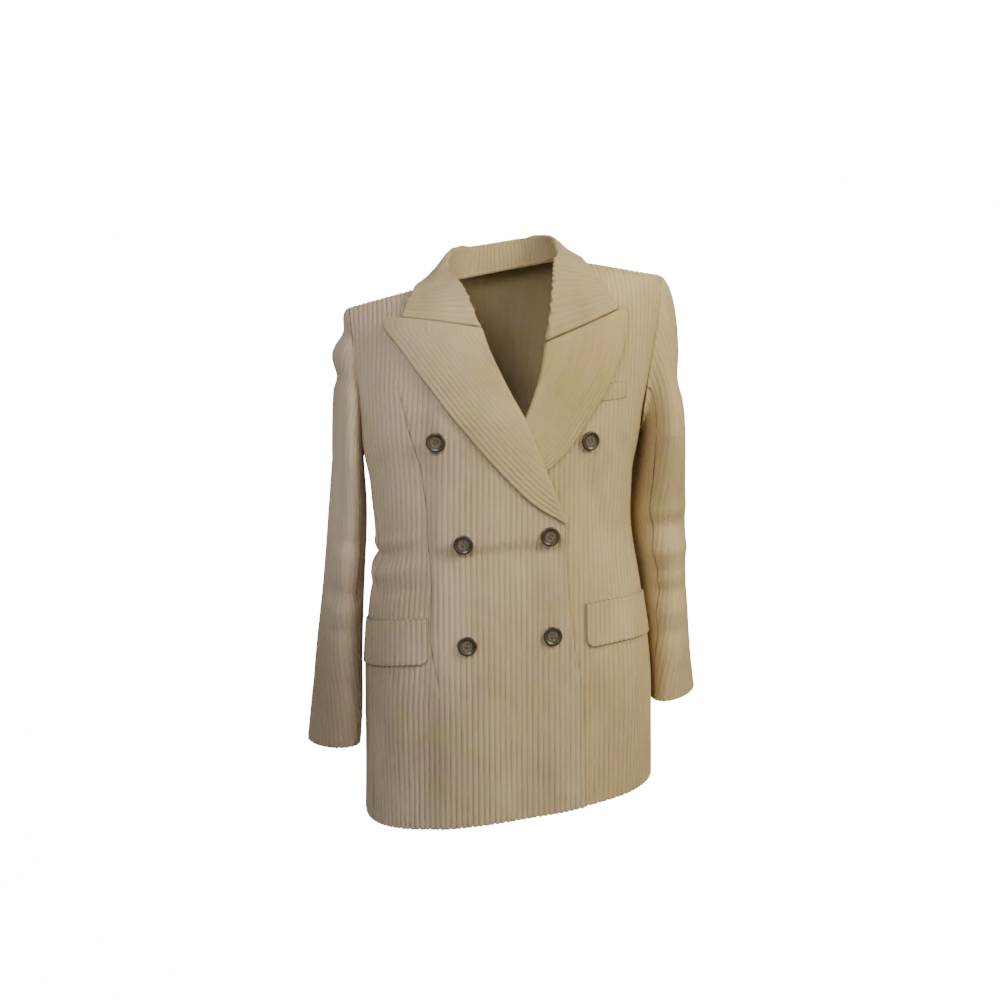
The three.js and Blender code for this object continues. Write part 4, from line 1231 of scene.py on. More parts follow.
def sleeve_point(side, u, level, height, from_inner):
    def at(du, dl):
        return sleeve_face(side, u + du, np.clip(level + dl, 0, 2), from_inner)

    point = at(0, 0)
    along = at(SLEEVE_NEAR_U, 0) - at(-SLEEVE_NEAR_U, 0)
    up = at(0, SLEEVE_NEAR_LEVEL) - at(0, -SLEEVE_NEAR_LEVEL)
    normal = unit(np.cross(along, up)) * (side if from_inner else -side)
    share = sleeve_share(side, u, level, from_inner)
    fold = sleeve_folds(side, u, point[..., 2], share) * (1 - smoothstep(level, *HEAD_CALMS))
    point = point + normal * (height + fold)[..., None]
    edge = mix(cap_edge(side, u, share, height), point, underarm(u, share)[..., None])
    return mix(point, edge, smoothstep(level, *HEAD_JOINS)[..., None])


sleeve_top = sleeve_point(RIGHT, np.zeros(1), np.full(1, 2.0), np.zeros(1), False)[0]
print("top of the right sleeve", np.round(sleeve_top))

# %% Rows and seams of the sleeves
SLEEVE_LENGTH = BICEPS_Z - CUFF_Z
CAP_LENGTH = 200.0
CAP_STEP = 2.0
SLEEVE_SEAM_FRONT, SLEEVE_SEAM_BACK = 0.64, 0.5


def sleeve_reach(levels):
    return SLEEVE_LENGTH * np.minimum(levels, 1) + CAP_LENGTH * np.maximum(levels - 1, 0)


sleeve_rows = np.concatenate([
    rows_between(0, SLEEVE_LENGTH, ROW_STEP)[:-2],
    rows_between(SLEEVE_LENGTH, SLEEVE_LENGTH + CAP_LENGTH, CAP_STEP),
])
SLEEVE_LEVELS = np.where(sleeve_rows <= SLEEVE_LENGTH, sleeve_rows / SLEEVE_LENGTH,
                         1 + (sleeve_rows - SLEEVE_LENGTH) / CAP_LENGTH)


def sleeve_span(side, way, share):
    def span(level):
        z = mix(CUFF_Z, BICEPS_Z, np.minimum(level, 1))
        return way * (np.interp(z, SLEEVE_GRID, SLEEVE_ROUNDS[side, way]) * share - HALF_GAP)

    return span


print("rows in a sleeve", len(SLEEVE_LEVELS))

# %% Top and under sleeves
CAP_REACH = 120
CAP_SLICE = 2.0
SLEEVE_SCALLOP, SLEEVE_SOFTNESS = 1.2, 0.65


def cap_grain(side):
    """Follows the cords up the sleeve head. They stay upright and parallel, and the armhole seam cuts them,
    so each one's distance from the sleeve's outer line is measured round a level slice through the head."""
    across_at = np.arange(-CAP_REACH, CAP_REACH + 1, CAP_SLICE)
    low = sleeve_face(side, across_at, np.full(len(across_at), 1.0), False)
    top = sleeve_face(side, across_at, np.full(len(across_at), 2.0), False)
    rows = []
    for z in np.arange(BICEPS_Z, top[:, 2].max(), CAP_SLICE):
        sine = np.clip((z - low[:, 2]) / np.maximum(top[:, 2] - low[:, 2], 1), 0, 1)
        line = mix(top, low, np.sqrt(1 - sine ** 2)[:, None])[:, :2]
        total = measured(line)
        rows.append(total - total[len(across_at) // 2])
    table = np.array(rows)[..., None]

    def grain(s, levels):
        z = sleeve_face(side, s, levels, False)[..., 2]
        lifted = look_up(table, (z - BICEPS_Z) / CAP_SLICE, (s + CAP_REACH) / CAP_SLICE)[..., 0]
        return np.where(levels <= 1, s, lifted)

    return grain


for side in (RIGHT, LEFT):
    name = SIDE_NAME[side]
    for part, from_inner in (("top", False), ("under", True)):
        front = 1 - SLEEVE_SEAM_FRONT if from_inner else SLEEVE_SEAM_FRONT
        back = 1 - SLEEVE_SEAM_BACK if from_inner else SLEEVE_SEAM_BACK
        pieces[f"sleeve_{part}_{name}"] = cloth_panel(
            f"sleeve_{part}_{name}_cloth", SLEEVE_LEVELS, sleeve_reach,
            [sleeve_span(side, -1, back), sleeve_span(side, 1, front)],
            lambda u, level, height: sleeve_point(side, u, level, height, from_inner),
            CLOTH[side], (SEAM, SEAM, FREE, SEAM), seed=4.2 + side, scallop=SLEEVE_SCALLOP,
            soften=lambda s, level: np.full(len(s), SLEEVE_SOFTNESS),
            grain_of=None if from_inner else cap_grain(side),
        )


# %% [markdown]
# ## Lapels and collar
#
# The lapels are the fronts' facings, folded back along the roll line. Their cords run beside the outer
# edge and are pressed nearly flat, so only the outermost ones show. The collar is a second piece, folded
# over the back of the neck, and its cords run across it from the roll to the edge. Both could be bent from
# flat strips, but their outlines matter most, so a smooth curve through a few points, measured by its own
# length, gives each edge and each section.

# %% Lapel measures
LAPEL_RISE = 3.5
LAPEL_LIFT = (-200, -150)
LAPELS = {
    RIGHT: {
        "outer": [(58, -316), (22, -290), (-22, -243), (-80, -170), (-120, -113), (-140, -82),
                  (-156, -57), (-152, -47)],
        "roll": [(60, -317), (38, -261), (10, -190), (-10, -153), (-36, -96), (-45, -67)],
    },
    LEFT: {
        "outer": [(-58, -316), (-40, -306), (0, -281), (35, -254), (67, -227), (107, -170),
                  (138, -112), (149, -62), (147, -56)],
        "roll": [(-59, -317), (-27, -261), (13, -190), (34, -139), (42, -105), (45, -89)],
    },
}
HOOK_LENGTH = 9.0
LAPEL_BELLY = 3.0
LAPEL_CLEAR = 0.7
FOLD_CLEAR = 2.0
print("lapels from", LAPELS[RIGHT]["outer"][0], "to", LAPELS[RIGHT]["outer"][-1])


# %% Smooth curves
def curve_points(controls, t):
    """Centripetal curve through control points. controls is [..., n, 3] and t runs from 0 to 1."""
    controls = np.asarray(controls, float)
    n = controls.shape[-2]
    before = 2 * controls[..., :1, :] - controls[..., 1:2, :]
    after = 2 * controls[..., -1:, :] - controls[..., -2:-1, :]
    padded = np.concatenate([before, controls, after], axis=-2)
    spot = np.clip(t, 0, 1) * (n - 1)
    k = np.minimum(spot.astype(int), n - 2)
    w = (spot - k)[..., None]
    if controls.ndim == 2:
        p0, p1, p2, p3 = (padded[k + i] for i in range(4))
    else:
        p0, p1, p2, p3 = (np.take_along_axis(padded, (k + i)[..., None], axis=-2) for i in range(4))
    d0, d1, d2 = (np.maximum(np.linalg.norm(b - a, axis=-1, keepdims=True) ** 0.5, 1e-4)
                  for a, b in ((p0, p1), (p1, p2), (p2, p3)))
    t1 = ((p1 - p0) / d0 - (p2 - p0) / (d0 + d1) + (p2 - p1) / d1) * d1
    t2 = ((p2 - p1) / d1 - (p3 - p1) / (d1 + d2) + (p3 - p2) / d2) * d1
    return p1 + t1 * w + (3 * (p2 - p1) - 2 * t1 - t2) * w ** 2 + (2 * (p1 - p2) + t1 + t2) * w ** 3


CURVE_STEPS = 200


def along_curve(controls, share):
    """Points at shares of the curve's own length."""
    t = np.linspace(0, 1, CURVE_STEPS + 1)
    run = measured(curve_points(controls, t))
    return curve_points(controls, np.interp(np.asarray(share) * run[-1], run, t))


lapel_edge = along_curve([(x, 0, z) for x, z in LAPELS[RIGHT]["outer"]], np.linspace(0, 1, 50))
print("right lapel edge", round(float(measured(lapel_edge)[-1])), "mm")


# %% Lapels
BELLY_GROWS, FOLD_OPENS = (0.1, 0.5), (0, 0.6)


def lapel_base(z):
    return WALL + LAPEL_CLEAR + LAPEL_RISE * smoothstep(z, *LAPEL_LIFT)


def lapel_parts(side):
    outer = [(x, 0, z) for x, z in LAPELS[side]["outer"]]
    roll = [(x, 0, z) for x, z in LAPELS[side]["roll"]]

    def width(level):
        return np.linalg.norm(along_curve(outer, level) - along_curve(roll, level), axis=-1)

    def place(e, level, height):
        edge, fold = along_curve(outer, level), along_curve(roll, level)
        wide = width(level)
        share = e / wide
        flat_share = np.minimum(share, 1)
        belly = LAPEL_BELLY * smoothstep(level, *BELLY_GROWS) * 4 * flat_share * (1 - flat_share)
        spot = mix(edge, fold, flat_share[..., None])
        lying = front_point(side, spot[..., 0], spot[..., 2], lapel_base(spot[..., 2]) + belly + height)
        half = (lapel_base(fold[..., 2]) + WALL) / 2
        centre = front_point(side, fold[..., 0], fold[..., 2], half)
        normal = unit(front_point(side, fold[..., 0], fold[..., 2], half + 1) - centre)
        medial = unit(fold - edge)
        medial = unit(medial - normal * (medial * normal).sum(-1, keepdims=True))
        radius = (half - WALL + height)[..., None]
        turn = (np.clip((e - wide) / HOOK_LENGTH, 0, 1) * math.pi)[..., None]
        rolled = centre + normal * radius * np.cos(turn)
        rolled = rolled + medial * (radius * np.sin(turn) + FOLD_CLEAR * smoothstep(turn, *FOLD_OPENS))
        return np.where((share <= 1)[..., None], lying, rolled)

    return width, place


print("a lapel starts", lapel_base(-150.0), "mm over the inside of its front")

# %% Pressed cords
LEFT_STANDING, NEAR_EDGE, PATCHES = 0.22, 0.38, 0.16
EDGE_FADE, TOP_FADE = (12, 60), (0.55, 0.95)


def pressed(e, level):
    """How strongly the cords stand: clear near the outer edge, nearly pressed out towards the roll."""
    near = 1 - smoothstep(e, *EDGE_FADE)
    low = 1 - smoothstep(level, *TOP_FADE)
    patch = 0.5 + 0.5 * np.sin(level * 9 + e / 17)
    return LEFT_STANDING + NEAR_EDGE * near * low + PATCHES * patch * (1 - level)


LAPEL_LENGTH = {RIGHT: 352.0, LEFT: 344.0}
HOOK_STEPS = 8
hook = [HOOK_LENGTH * k / HOOK_STEPS for k in range(1, HOOK_STEPS + 1)]
lapel_rows = {side: rows_between(0, LAPEL_LENGTH[side], 4.0) for side in (RIGHT, LEFT)}
for side in (RIGHT, LEFT):
    width, place = lapel_parts(side)
    pieces[f"lapel_{SIDE_NAME[side]}"] = cloth_panel(
        f"lapel_{SIDE_NAME[side]}_cloth", lapel_rows[side] / LAPEL_LENGTH[side],
        lambda levels: levels * LAPEL_LENGTH[side],
        [lambda level: np.zeros(len(level)), width], place, LAPEL_CLOTH[side], (FREE, FREE, FREE, SEAM),
        tail=hook, seed=5.5, soften=pressed,
    )

# %% Collar rows
# Where the roll, the outer edge and the neck seam lie, from the centre back round to each lapel
COLLAR = [
    {"roll": (0, 72, 40), "edge": (0, 90, -8), "seam": (0, 66, 0)},
    {"roll": (30, 67, 41), "edge": (50, 81, -7), "seam": (36, 61, 0)},
    {"roll": (52, 48, 42), "edge": (89, 51, -7), "seam": (62, 44, 1)},
    {"roll": (64, 22, 38), "edge": (106, 18, 1), "seam": (76, 20, 3)},
]
COLLAR_FRONT = {
    RIGHT: [
        {"roll": (-71, -14, 10), "edge": (-113, -15.5), "seam": (-80, -12)},
        {"roll": (-63, -14), "rise": 10, "edge": (-120, -24), "seam": (-73, -22)},
        {"roll": (-55, -32), "rise": 9, "edge": (-126.5, -33.5), "seam": (-65, -34)},
        {"roll": (-46, -66), "rise": 6.4, "edge": (-134.5, -49.8), "seam": (-47, -66)},
    ],
    LEFT: [
        {"roll": (73, -18, 20), "edge": (103, 1), "seam": (79, 4)},
        {"roll": (68, 2), "rise": 11, "edge": (109, -10), "seam": (75, -12)},
        {"roll": (57, -28), "rise": 11, "edge": (118, -26), "seam": (66, -36)},
        {"roll": (46, -88), "rise": 6.4, "edge": (137, -58.2), "seam": (47, -87)},
    ],
}
print("collar known at", len(COLLAR) + len(COLLAR_FRONT[RIGHT]), "places from the back to each lapel")

# %% Points of a collar row
NECK_CLEAR, ROLL_CLEAR = 8.5, 3.5
EDGE_RISE = WALL * 1.5 + LAPEL_RISE + 0.8
FALL_RISE = EDGE_RISE + 1
FALL_DROP = 3.0
FALL_BELLY, SHOULDER_BELLY = -1.0, 1.5
ROLL_SIDE = 64.0
ROLL_SHIFT = {RIGHT: (0.0, 2.0), LEFT: (5.0, -4.0)}


def collar_back_row(side, row):
    parts = {}
    for key in ("roll", "edge", "seam"):
        x, y, z = row[key]
        tilt = float(shoulder_z(np.clip(side * x, -NECK_X, NECK_X)))
        parts[key] = np.array([side * x, y, z + tilt], float)
    wider, higher = ROLL_SHIFT[side]
    parts["roll"] += np.array([side * wider, 0, higher]) * row["roll"][0] / ROLL_SIDE
    fall = mix(parts["edge"], parts["roll"], 0.5)
    parts["fall"] = fall + unit(fall - parts["seam"]) * FALL_BELLY
    return parts


def collar_front_row(side, row):
    edge_x, edge_z = row["edge"]
    roll = row["roll"]
    roll_x, roll_z = roll[0], roll[-1]
    fall_x = mix(edge_x, roll_x, 0.5)
    fall_z = min(mix(edge_z, roll_z, 0.5), float(shoulder_z(np.array(fall_x))) - FALL_DROP)
    lifted = np.array(roll, float) if len(roll) == 3 else front_point(
        side, roll[0] - side * ROLL_CLEAR, roll[1], row["rise"])
    return {
        "edge": front_point(side, edge_x, edge_z, EDGE_RISE),
        "fall": front_point(side, fall_x, fall_z, FALL_RISE),
        "roll": lifted,
        "seam": front_point(side, row["seam"][0] - side * NECK_CLEAR, row["seam"][1], WALL / 2),
    }


collar_rows = [collar_front_row(RIGHT, row) for row in COLLAR_FRONT[RIGHT][::-1]]
collar_rows += [collar_back_row(RIGHT, row) for row in COLLAR[::-1]]
collar_rows += [collar_back_row(LEFT, row) for row in COLLAR[1:]]
collar_rows += [collar_front_row(LEFT, row) for row in COLLAR_FRONT[LEFT]]
COLLAR_KEYS = ("edge", "fall", "roll", "seam")
collar_lines = {key: np.array([row[key].reshape(3) for row in collar_rows]) for key in COLLAR_KEYS}
print("collar rows", len(collar_rows))

# %% Collar sections
middle_line = mix(collar_lines["edge"], collar_lines["roll"], 0.4)
fine_t = np.linspace(0, 1, CURVE_STEPS + 1)
middle_run = measured(curve_points(middle_line, fine_t))
COLLAR_LENGTH = float(middle_run[-1])
SECTION_STEPS = 120


def collar_section(c):
    """The section's points at even steps of its own length, for an array of distances along the collar."""
    t = np.interp(c, middle_run, fine_t)
    edge, fall, roll, seam = (curve_points(collar_lines[key], t) for key in COLLAR_KEYS)
    out = unit(fall - seam)
    shoulder = mix(roll, fall, 0.26) + out * SHOULDER_BELLY
    stand = mix(roll, seam, 0.4)
    controls = np.stack([edge, fall, shoulder, roll, stand, seam], axis=-2)
    steps = np.linspace(0, 1, SECTION_STEPS + 1)
    points = np.stack([curve_points(section, steps) for section in controls])
    return np.array([even_steps(line, SECTION_STEPS)[0] for line in points])


COLLAR_ROWS = 400
collar_grid = collar_section(np.linspace(0, COLLAR_LENGTH, COLLAR_ROWS + 1))
collar_normal = unit(np.cross(np.gradient(collar_grid, axis=1), np.gradient(collar_grid, axis=0)))
section_length = float(measured(collar_grid[len(collar_grid) // 2])[-1])
print("collar", round(COLLAR_LENGTH), "mm long and", round(section_length), "mm deep at the back")


# %% The collar's cloth
COLLAR_SOFTNESS, COLLAR_SCALLOP = 0.7, 0.6


def collar_place(c, v, height):
    row, column = c / COLLAR_LENGTH * COLLAR_ROWS, v * SECTION_STEPS
    point = look_up(collar_grid, row, column)
    normal = unit(look_up(collar_normal, row, column))
    return point + normal * (height - WALL / 2)[..., None]


collar_levels = rows_between(0, section_length, 3.5) / section_length
# The collar takes the lapels' darker tint: painted shade under the light from above
pieces["collar"] = cloth_panel(
    "collar_cloth", collar_levels, lambda levels: levels * section_length,
    [lambda level: np.zeros(len(level)), lambda level: np.full(len(level), COLLAR_LENGTH)],
    collar_place, LAPEL_CLOTH[RIGHT], (FREE, FREE, FREE, SEAM), seed=6.1,
    soften=lambda c, v: np.full(len(c), COLLAR_SOFTNESS), scallop=COLLAR_SCALLOP,
)

# %% [markdown]
# ## Pockets
#
# Each hip pocket hides under a flap with a rounded front corner, which lies on the front and follows its
# curve. The breast pocket shows only its welt. A flat plate would stand off the curved front, so both are
# small panels woven in the same way, a hair above the cloth that carries them.

# %% Hip pocket flaps
FLAP_TOP, FLAP_HEIGHT, FLAP_LENGTH, FLAP_CORNER = -427.0, 60.0, 140.0, 14.0
FLAP_CLEAR = 0.9
FLAP_SLANT, FLAP_LEVEL_Y = 0.11, -110.0
FLAP_FRONT = {RIGHT: -108, LEFT: 92}
FLAP_SCALLOP = 1.6
POCKET_ROW_STEP = 2.5


def run_at(side, x, z):
    reach = np.array(240.0)
    return float(crossing(lambda s: np.abs(body_face(side, s, level_at(z))[..., 0]) - abs(x), 0.0, reach))


def flap_corner(distance):
    rise = np.minimum(distance, FLAP_CORNER)
    return FLAP_CORNER - np.sqrt(FLAP_CORNER ** 2 - (FLAP_CORNER - rise) ** 2)


flap_rows = rows_between(0, FLAP_HEIGHT, POCKET_ROW_STEP)
for side in (RIGHT, LEFT):
    flap_start = run_at(side, FLAP_FRONT[side], FLAP_TOP)

    def flap_place(s, level, height):
        z = FLAP_TOP - FLAP_HEIGHT * (1 - level)
        x = body_face(side, s, level_at(z))[..., 0]
        rise = WALL + FLAP_CLEAR + (lap(x, z) if side == RIGHT else 0)
        points = body_point(side, s, level_at(z), rise + height)
        points[..., 2] -= FLAP_SLANT * np.maximum(points[..., 1] - FLAP_LEVEL_Y, 0)
        return points

    pieces[f"pocket_flap_{SIDE_NAME[side]}"] = cloth_panel(
        f"pocket_flap_{SIDE_NAME[side]}_cloth", flap_rows / FLAP_HEIGHT,
        lambda levels: levels * FLAP_HEIGHT,
        [lambda level: flap_start + flap_corner(level * FLAP_HEIGHT),
         lambda level: np.full(len(level), flap_start + FLAP_LENGTH)],
        flap_place, CLOTH[side], (FREE, FREE, FREE, SEAM), seed=7.3, scallop=FLAP_SCALLOP,
    )

# %% Breast welt
WELT_INNER, WELT_OUTER, WELT_TOP, WELT_HEIGHT, WELT_CLEAR = 88.0, 146.0, -147.0, 22.0, 0.5
# It is pressed flat into its seam and stands a little at its open top
WELT_FLAT, WELT_STAND, WELT_FLAT_UP_TO = 0.15, 0.7, 0.6


def welt_place(x, level, height):
    thickness = height * mix(WELT_FLAT, WELT_STAND, smoothstep(level, 0, WELT_FLAT_UP_TO))
    return front_point(LEFT, x, WELT_TOP - WELT_HEIGHT * (1 - level), WALL + WELT_CLEAR + thickness)


pieces["breast_welt"] = cloth_panel(
    "breast_welt_cloth", rows_between(0, WELT_HEIGHT, POCKET_ROW_STEP) / WELT_HEIGHT,
    lambda levels: levels * WELT_HEIGHT,
    [lambda level: np.full(len(level), WELT_INNER), lambda level: np.full(len(level), WELT_OUTER)],
    welt_place, CLOTH[LEFT], (SEAM, FREE, SEAM, FREE), seed=8.9,
)

# %% [markdown]
# ## Buttons
#
# The buttons are turned from horn: a raised rim, a dished middle and four holes, sewn with thread. Holes
# could be cut with a boolean, but a disc of rings and spokes fine enough for them takes the whole profile
# at once, and each hole is a deep dimple. Each button comes down on its cloth until it nearly touches the
# highest cord, and two stitches of thread cross its holes.

# %% Horn
DARK_HORN, BROWN_HORN, PALE_HORN = (0.03, 0.019, 0.009), (0.085, 0.06, 0.03), (0.19, 0.155, 0.098)


def horn_material():
    """Brown clouds in dark horn, paler in the dish but dark in its holes as painted shade, with fine dark
    veins and a polished coat.
    """
    material, nodes, links, shader = new_material("mottled horn", (0.05, 0.035, 0.02), 0.38)
    place = nodes.new("ShaderNodeTexCoord").outputs["Object"]
    cloud = between(nodes, links, noise_at(nodes, links, place, 160, 4, (1, 1, 0.5)), 0.35, 0.7)
    vein = between(nodes, links, noise_at(nodes, links, place, 420, 3, (1, 1, 0.3)), 0.45, 0.7)
    pale = between(nodes, links, stored(nodes, "dish"), 0.2, 1, 0, 0.8)
    color = mix_colors(nodes, links, cloud, DARK_HORN, BROWN_HORN)
    color = mix_colors(nodes, links, pale, color, PALE_HORN)
    color = mix_colors(nodes, links, between(nodes, links, vein, 0, 1, 0, 0.4), color, DARK_HORN)
    links.new(color, shader.inputs["Base Color"])
    shader.inputs["Coat Weight"].default_value = 0.5
    shader.inputs["Coat Roughness"].default_value = 0.16
    return material


horn = horn_material()
print("horn ready")

# %% Button discs
BUTTON_SPOKES = 72
HOLES = 4
HOLE_RADIUS, HOLE_OFFSET, HOLE_DEPTH = 1.05, 2.5, 2.0
HOLE_INSIDE, HOLE_OUTSIDE = 0.25, 0.15
# The turned profile: distance from the middle, and height over the underside
PROFILE_R = np.array([0, 4.5, 8.2, 9.4, 10.4, 11.4, 12.1, 12.5, 12.3, 11.2])
PROFILE_H = np.array([2.3, 2.5, 3.1, 3.9, 4.2, 4.1, 3.6, 2.6, 1.4, 0.35])
DISH_RINGS = np.arange(0.25, 8.2, 0.3)
DISH_FADE = (5.5, 8.2)
UNDERSIDE_RADIUS = 8.0


def button_disc():
    """Rings from the middle of the dish over the rim to the underside, and then the flat underside."""
    dish = len(DISH_RINGS)
    radii = np.concatenate([DISH_RINGS, PROFILE_R[2:], [UNDERSIDE_RADIUS]])
    heights = np.concatenate([np.interp(DISH_RINGS, PROFILE_R[:3], PROFILE_H[:3]), PROFILE_H[2:], [0.0]])
    angle = np.arange(BUTTON_SPOKES) / BUTTON_SPOKES * 2 * math.pi
    r, a = np.meshgrid(radii, angle, indexing="ij")
    x, y = r * np.cos(a), r * np.sin(a)
    h = np.broadcast_to(heights[:, None], r.shape).copy()
    dished = np.zeros(r.shape)
    dished[:dish] = 1 - smoothstep(r[:dish], *DISH_FADE)
    for k in range(HOLES):
        at = (k + 0.5) * math.pi / 2
        off = np.hypot(x - HOLE_OFFSET * math.cos(at), y - HOLE_OFFSET * math.sin(at))
        sink = 1 - smoothstep(off, HOLE_RADIUS - HOLE_INSIDE, HOLE_RADIUS + HOLE_OUTSIDE)
        h[:dish] -= HOLE_DEPTH * sink[:dish]
        # The holes lose the dish's paleness: painted shade in the holes
        dished[:dish] *= 1 - sink[:dish]
    rings = np.stack([x, y, h], axis=-1).reshape(-1, 3)
    points = np.concatenate([rings, [[0, 0, heights[0]], [0, 0, 0]]])
    n = BUTTON_SPOKES
    faces = []
    for ring in range(len(radii) - 1):
        for k in range(n):
            a0, a1 = ring * n + k, ring * n + (k + 1) % n
            faces.append([a0, a0 + n, a1 + n, a1])
    last = (len(radii) - 1) * n
    faces += [[len(rings), k, (k + 1) % n] for k in range(n)]
    faces += [[len(rings) + 1, last + (k + 1) % n, last + k] for k in range(n)]
    return points, faces, np.concatenate([dished.ravel(), [1, 0]])


disc_points, disc_faces, disc_dish = button_disc()
print("button points", len(disc_points))

# %% The cloth under the buttons
START_RISE = 8.0
SEAT_CLEAR = 0.5
PROBE_RADIUS, PROBE_RINGS, PROBE_SPOKES = 12.5 * 0.9, 6, 24
front_trees = {}
for side in (RIGHT, LEFT):
    mesh = pieces[f"front_{SIDE_NAME[side]}"].data
    corners = [vertex.co for vertex in mesh.vertices]
    front_trees[side] = BVHTree.FromPolygons(corners, [face.vertices[:] for face in mesh.polygons])


def button_frame(side, x, z, spin):
    """Starts above the cloth and comes down along the normal until the disc meets the highest cord."""
    start = front_point(side, x, z, WALL + START_RISE)
    normal = unit(start - front_point(side, x, z, WALL))
    across = unit(np.cross(np.array([0, 0, 1.0]), normal))
    up = np.cross(normal, across)
    turned = across * math.cos(spin) + up * math.sin(spin)
    axes = np.stack([turned, np.cross(normal, turned), normal])
    start = lean(start[None])[0]
    drop = START_RISE * 2
    for radius in np.linspace(0, PROBE_RADIUS, PROBE_RINGS):
        for angle in np.linspace(0, 2 * math.pi, PROBE_SPOKES, endpoint=False):
            spot = start + radius * (math.cos(angle) * axes[0] + math.sin(angle) * axes[1])
            distance = front_trees[side].ray_cast(Vector(spot * METRES), Vector(-normal))[3]
            if distance is not None:
                drop = min(drop, distance * 1000)
    return start - normal * (drop - SEAT_CLEAR), axes


print("probing each seat with", PROBE_RINGS * PROBE_SPOKES, "rays")


# %% Thread
def thread_tube(start, stop, rise, radius=0.32, steps=8, sides=6):
    """One stitch: a thin tube that rises in a low arch from hole to hole."""
    t = np.linspace(0, 1, steps)
    centre = mix(np.array(start)[None], np.array(stop)[None], t[:, None])
    centre[:, 2] += rise * np.sin(math.pi * t) ** 0.6
    tangent = unit(np.gradient(centre, axis=0))
    side_way = unit(np.cross(tangent, np.array([0, 0, 1.0])))
    up_way = np.cross(side_way, tangent)
    angle = np.arange(sides) / sides * 2 * math.pi
    points = centre[:, None] + radius * (side_way[:, None] * np.cos(angle)[None, :, None]
                                         + up_way[:, None] * np.sin(angle)[None, :, None])
    faces = []
    for ring in range(steps - 1):
        for k in range(sides):
            a0, a1 = ring * sides + k, ring * sides + (k + 1) % sides
            faces.append([a0, a1, a1 + sides, a0 + sides])
    faces += [list(range(sides))[::-1], list(range((steps - 1) * sides, steps * sides))]
    return points.reshape(-1, 3), faces


def thread_finish():
    material, nodes, links, shader = new_material("sewing thread", (0.35, 0.28, 0.18), 0.7)
    twist = noise_at(nodes, links, nodes.new("ShaderNodeTexCoord").outputs["Object"], 2500)
    color = mix_colors(nodes, links, twist, (0.25, 0.2, 0.12), (0.45, 0.37, 0.25))
    links.new(color, shader.inputs["Base Color"])
    return material


thread_material = thread_finish()
print("thread ready")

# %% Six buttons, sewn on
# The front that carries each one, and where on it
BUTTONS = {
    "button_right_top": (RIGHT, -97, -200),
    "button_left_top": (LEFT, 96, -217),
    "button_right_middle": (RIGHT, -64, -333),
    "button_left_middle": (RIGHT, 43, -333),
    "button_right_low": (RIGHT, -61, -464),
    "button_left_low": (RIGHT, 47, -463),
}
SPIN_STEP = 0.35
STITCH_HEIGHT, STITCH_RISE = 1.4, 1.5
hole = HOLE_OFFSET * math.sqrt(0.5)
thread_points, thread_faces = [], []
for number, (name, (side, x, z)) in enumerate(BUTTONS.items()):
    seat, axes = button_frame(side, x, z, SPIN_STEP * number)
    placed = seat + disc_points @ axes
    dish = {"dish": disc_dish}
    pieces[name] = make_mesh(f"{name}_horn", placed, disc_faces, [horn], values=dish, sharp=35)
    for way in (1, -1):
        first, second = (-hole, way * hole, STITCH_HEIGHT), (hole, way * hole, STITCH_HEIGHT)
        tube, tube_faces = thread_tube(first, second, STITCH_RISE)
        base = sum(len(p) for p in thread_points)
        thread_points.append(seat + tube @ axes)
        thread_faces += [[base + i for i in face] for face in tube_faces]
button_threads = make_mesh(
    "button_threads", np.concatenate(thread_points), thread_faces, [thread_material], sharp=60)
print("buttons", [name for name in pieces if name.startswith("button")])

# %% [markdown]
# ## Riding and replacing
#
# Every piece rides on the imported model's one body and takes the place of its solid, which is hidden. For
# each panel of cloth the loop also looks up the size it was cut to, measured when it was woven, and which
# piece holds it up.

RESTS_ON = {
    "front": "collar", "side_panel": "front_right_cloth", "back": "collar", "sleeve": "front_right_cloth",
    "lapel": "front_right_cloth", "collar": "back_right_cloth", "pocket_flap": "front_right_cloth",
    "breast_welt": "front_left_cloth",
}
for node, piece in pieces.items():
    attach(piece, "root")
    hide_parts(node)
    if node.startswith("button"):
        continue
    left_side = node.endswith("left") or node == "breast_welt"
    carrier = next(value for key, value in RESTS_ON.items() if node.startswith(key))
    if left_side:
        carrier = carrier.replace("right", "left")
    wide, long, area = flat_sizes[piece.name]
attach(button_threads, "root")
print("declared", len(pieces), "pieces")

# %% [markdown]
# ## Floor, backdrop and light
#
# The blazer hangs in front of a plain pale backdrop that curves into the floor, well below the hem. The
# backdrop glows, so that it stays white whatever the lights do, and its glow is kept off the cloth. A broad
# warm key from the upper right of the picture models the folds, a weak cool fill from the left, narrowed to
# the shoulders and the chest, opens their shade, and a small light from behind draws the edges. A pale sky
# all round does the rest.

# %% Backdrop
FLOOR_Z = -1.35
BACKDROP_Y = 2.4
BACKDROP_TOP = 6.0
BACKDROP_HALF = 9.0
CURVE_RADIUS, CURVE_PARTS = 1.2, 16

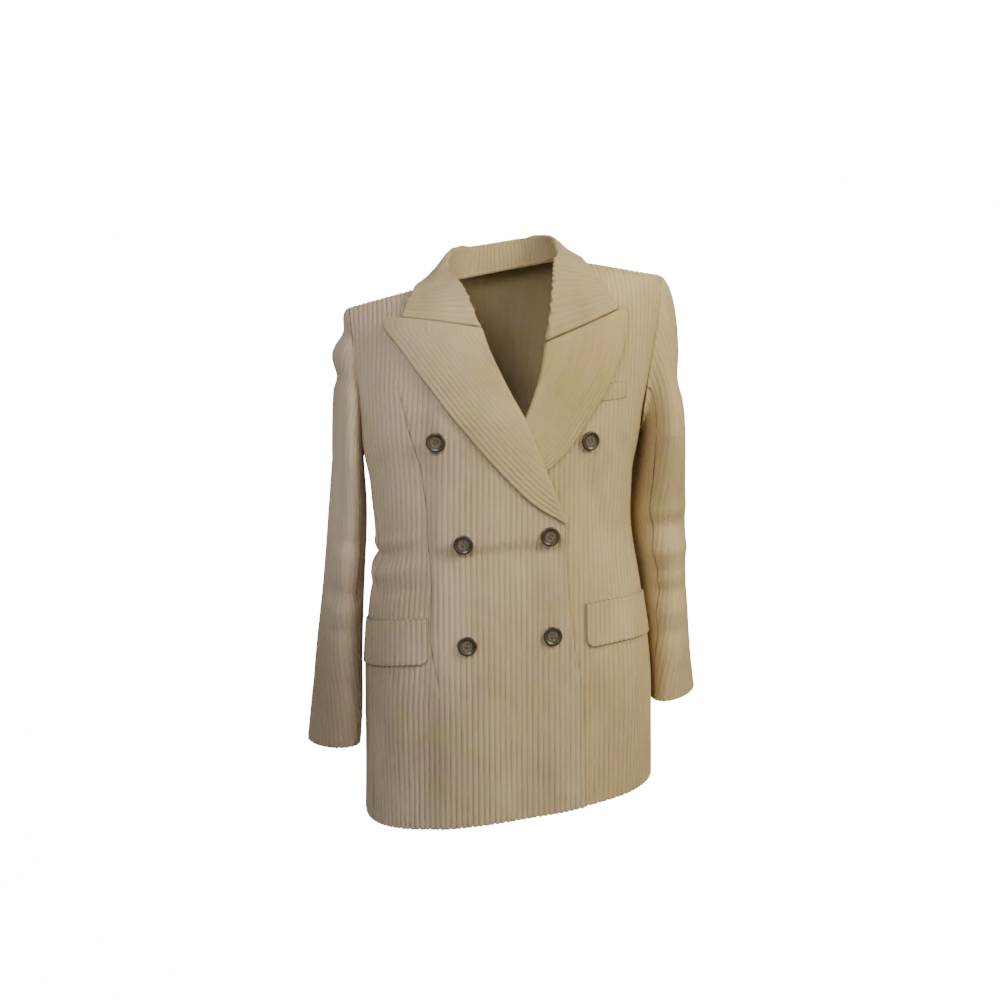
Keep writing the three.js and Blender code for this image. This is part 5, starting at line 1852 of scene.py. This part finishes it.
profile = [(-BACKDROP_HALF, FLOOR_Z)]
for k in range(CURVE_PARTS + 1):
    turn = k / CURVE_PARTS * math.pi / 2
    profile.append((BACKDROP_Y - CURVE_RADIUS + CURVE_RADIUS * math.sin(turn),
                    FLOOR_Z + CURVE_RADIUS - CURVE_RADIUS * math.cos(turn)))
profile.append((BACKDROP_Y, BACKDROP_TOP))
backdrop_points = [(x, y, z) for y, z in profile for x in (-BACKDROP_HALF, BACKDROP_HALF)]
backdrop_faces = [[2 * k, 2 * k + 1, 2 * k + 3, 2 * k + 2] for k in range(len(profile) - 1)]
paper, _, _, paper_shader = new_material("pale paper", (0.9, 0.9, 0.9), 0.9)
paper_shader.inputs["Base Color"].default_value = (0.93, 0.93, 0.93, 1)
paper_shader.inputs["Emission Color"].default_value = (1, 1, 1, 1)
paper_shader.inputs["Emission Strength"].default_value = 16.0
backdrop = make_mesh("backdrop", np.array(backdrop_points) * 1000, backdrop_faces, [paper])
backdrop.visible_diffuse = False
backdrop.visible_glossy = False
print("backdrop behind", BACKDROP_Y, "m")


# %% Lights
def soft_light(name, place, size, power, color, target=(0, 0, -0.35), spread=180):
    data = bpy.data.lights.new(name, "AREA")
    data.spread = math.radians(spread)
    data.shape = "RECTANGLE"
    data.size, data.size_y = size
    data.energy = power
    data.color = color
    light = bpy.data.objects.new(name, data)
    light.location = place
    light.rotation_euler = (Vector(place) - Vector(target)).to_track_quat("Z", "Y").to_euler()
    bpy.context.scene.collection.objects.link(light)
    return light


soft_light("key", (1.6, -1.5, 1.0), (1.2, 1.0), 54, (1.0, 0.92, 0.74), (0, 0, -0.3))
soft_light("fill", (-0.95, -1.9, 1.0), (1.0, 0.8), 2.4, (0.94, 0.95, 1.0), (-0.12, 0, -0.14), 44)
soft_light("back", (0.6, 1.8, 1.4), (1.4, 1.0), 8, (1, 1, 1))
world = bpy.data.worlds.new("pale room")
world.use_nodes = True
sky = world.node_tree.nodes["Background"]
sky.inputs["Color"].default_value = (1, 0.98, 0.95, 1)
sky.inputs["Strength"].default_value = 0.24
bpy.context.scene.world = world
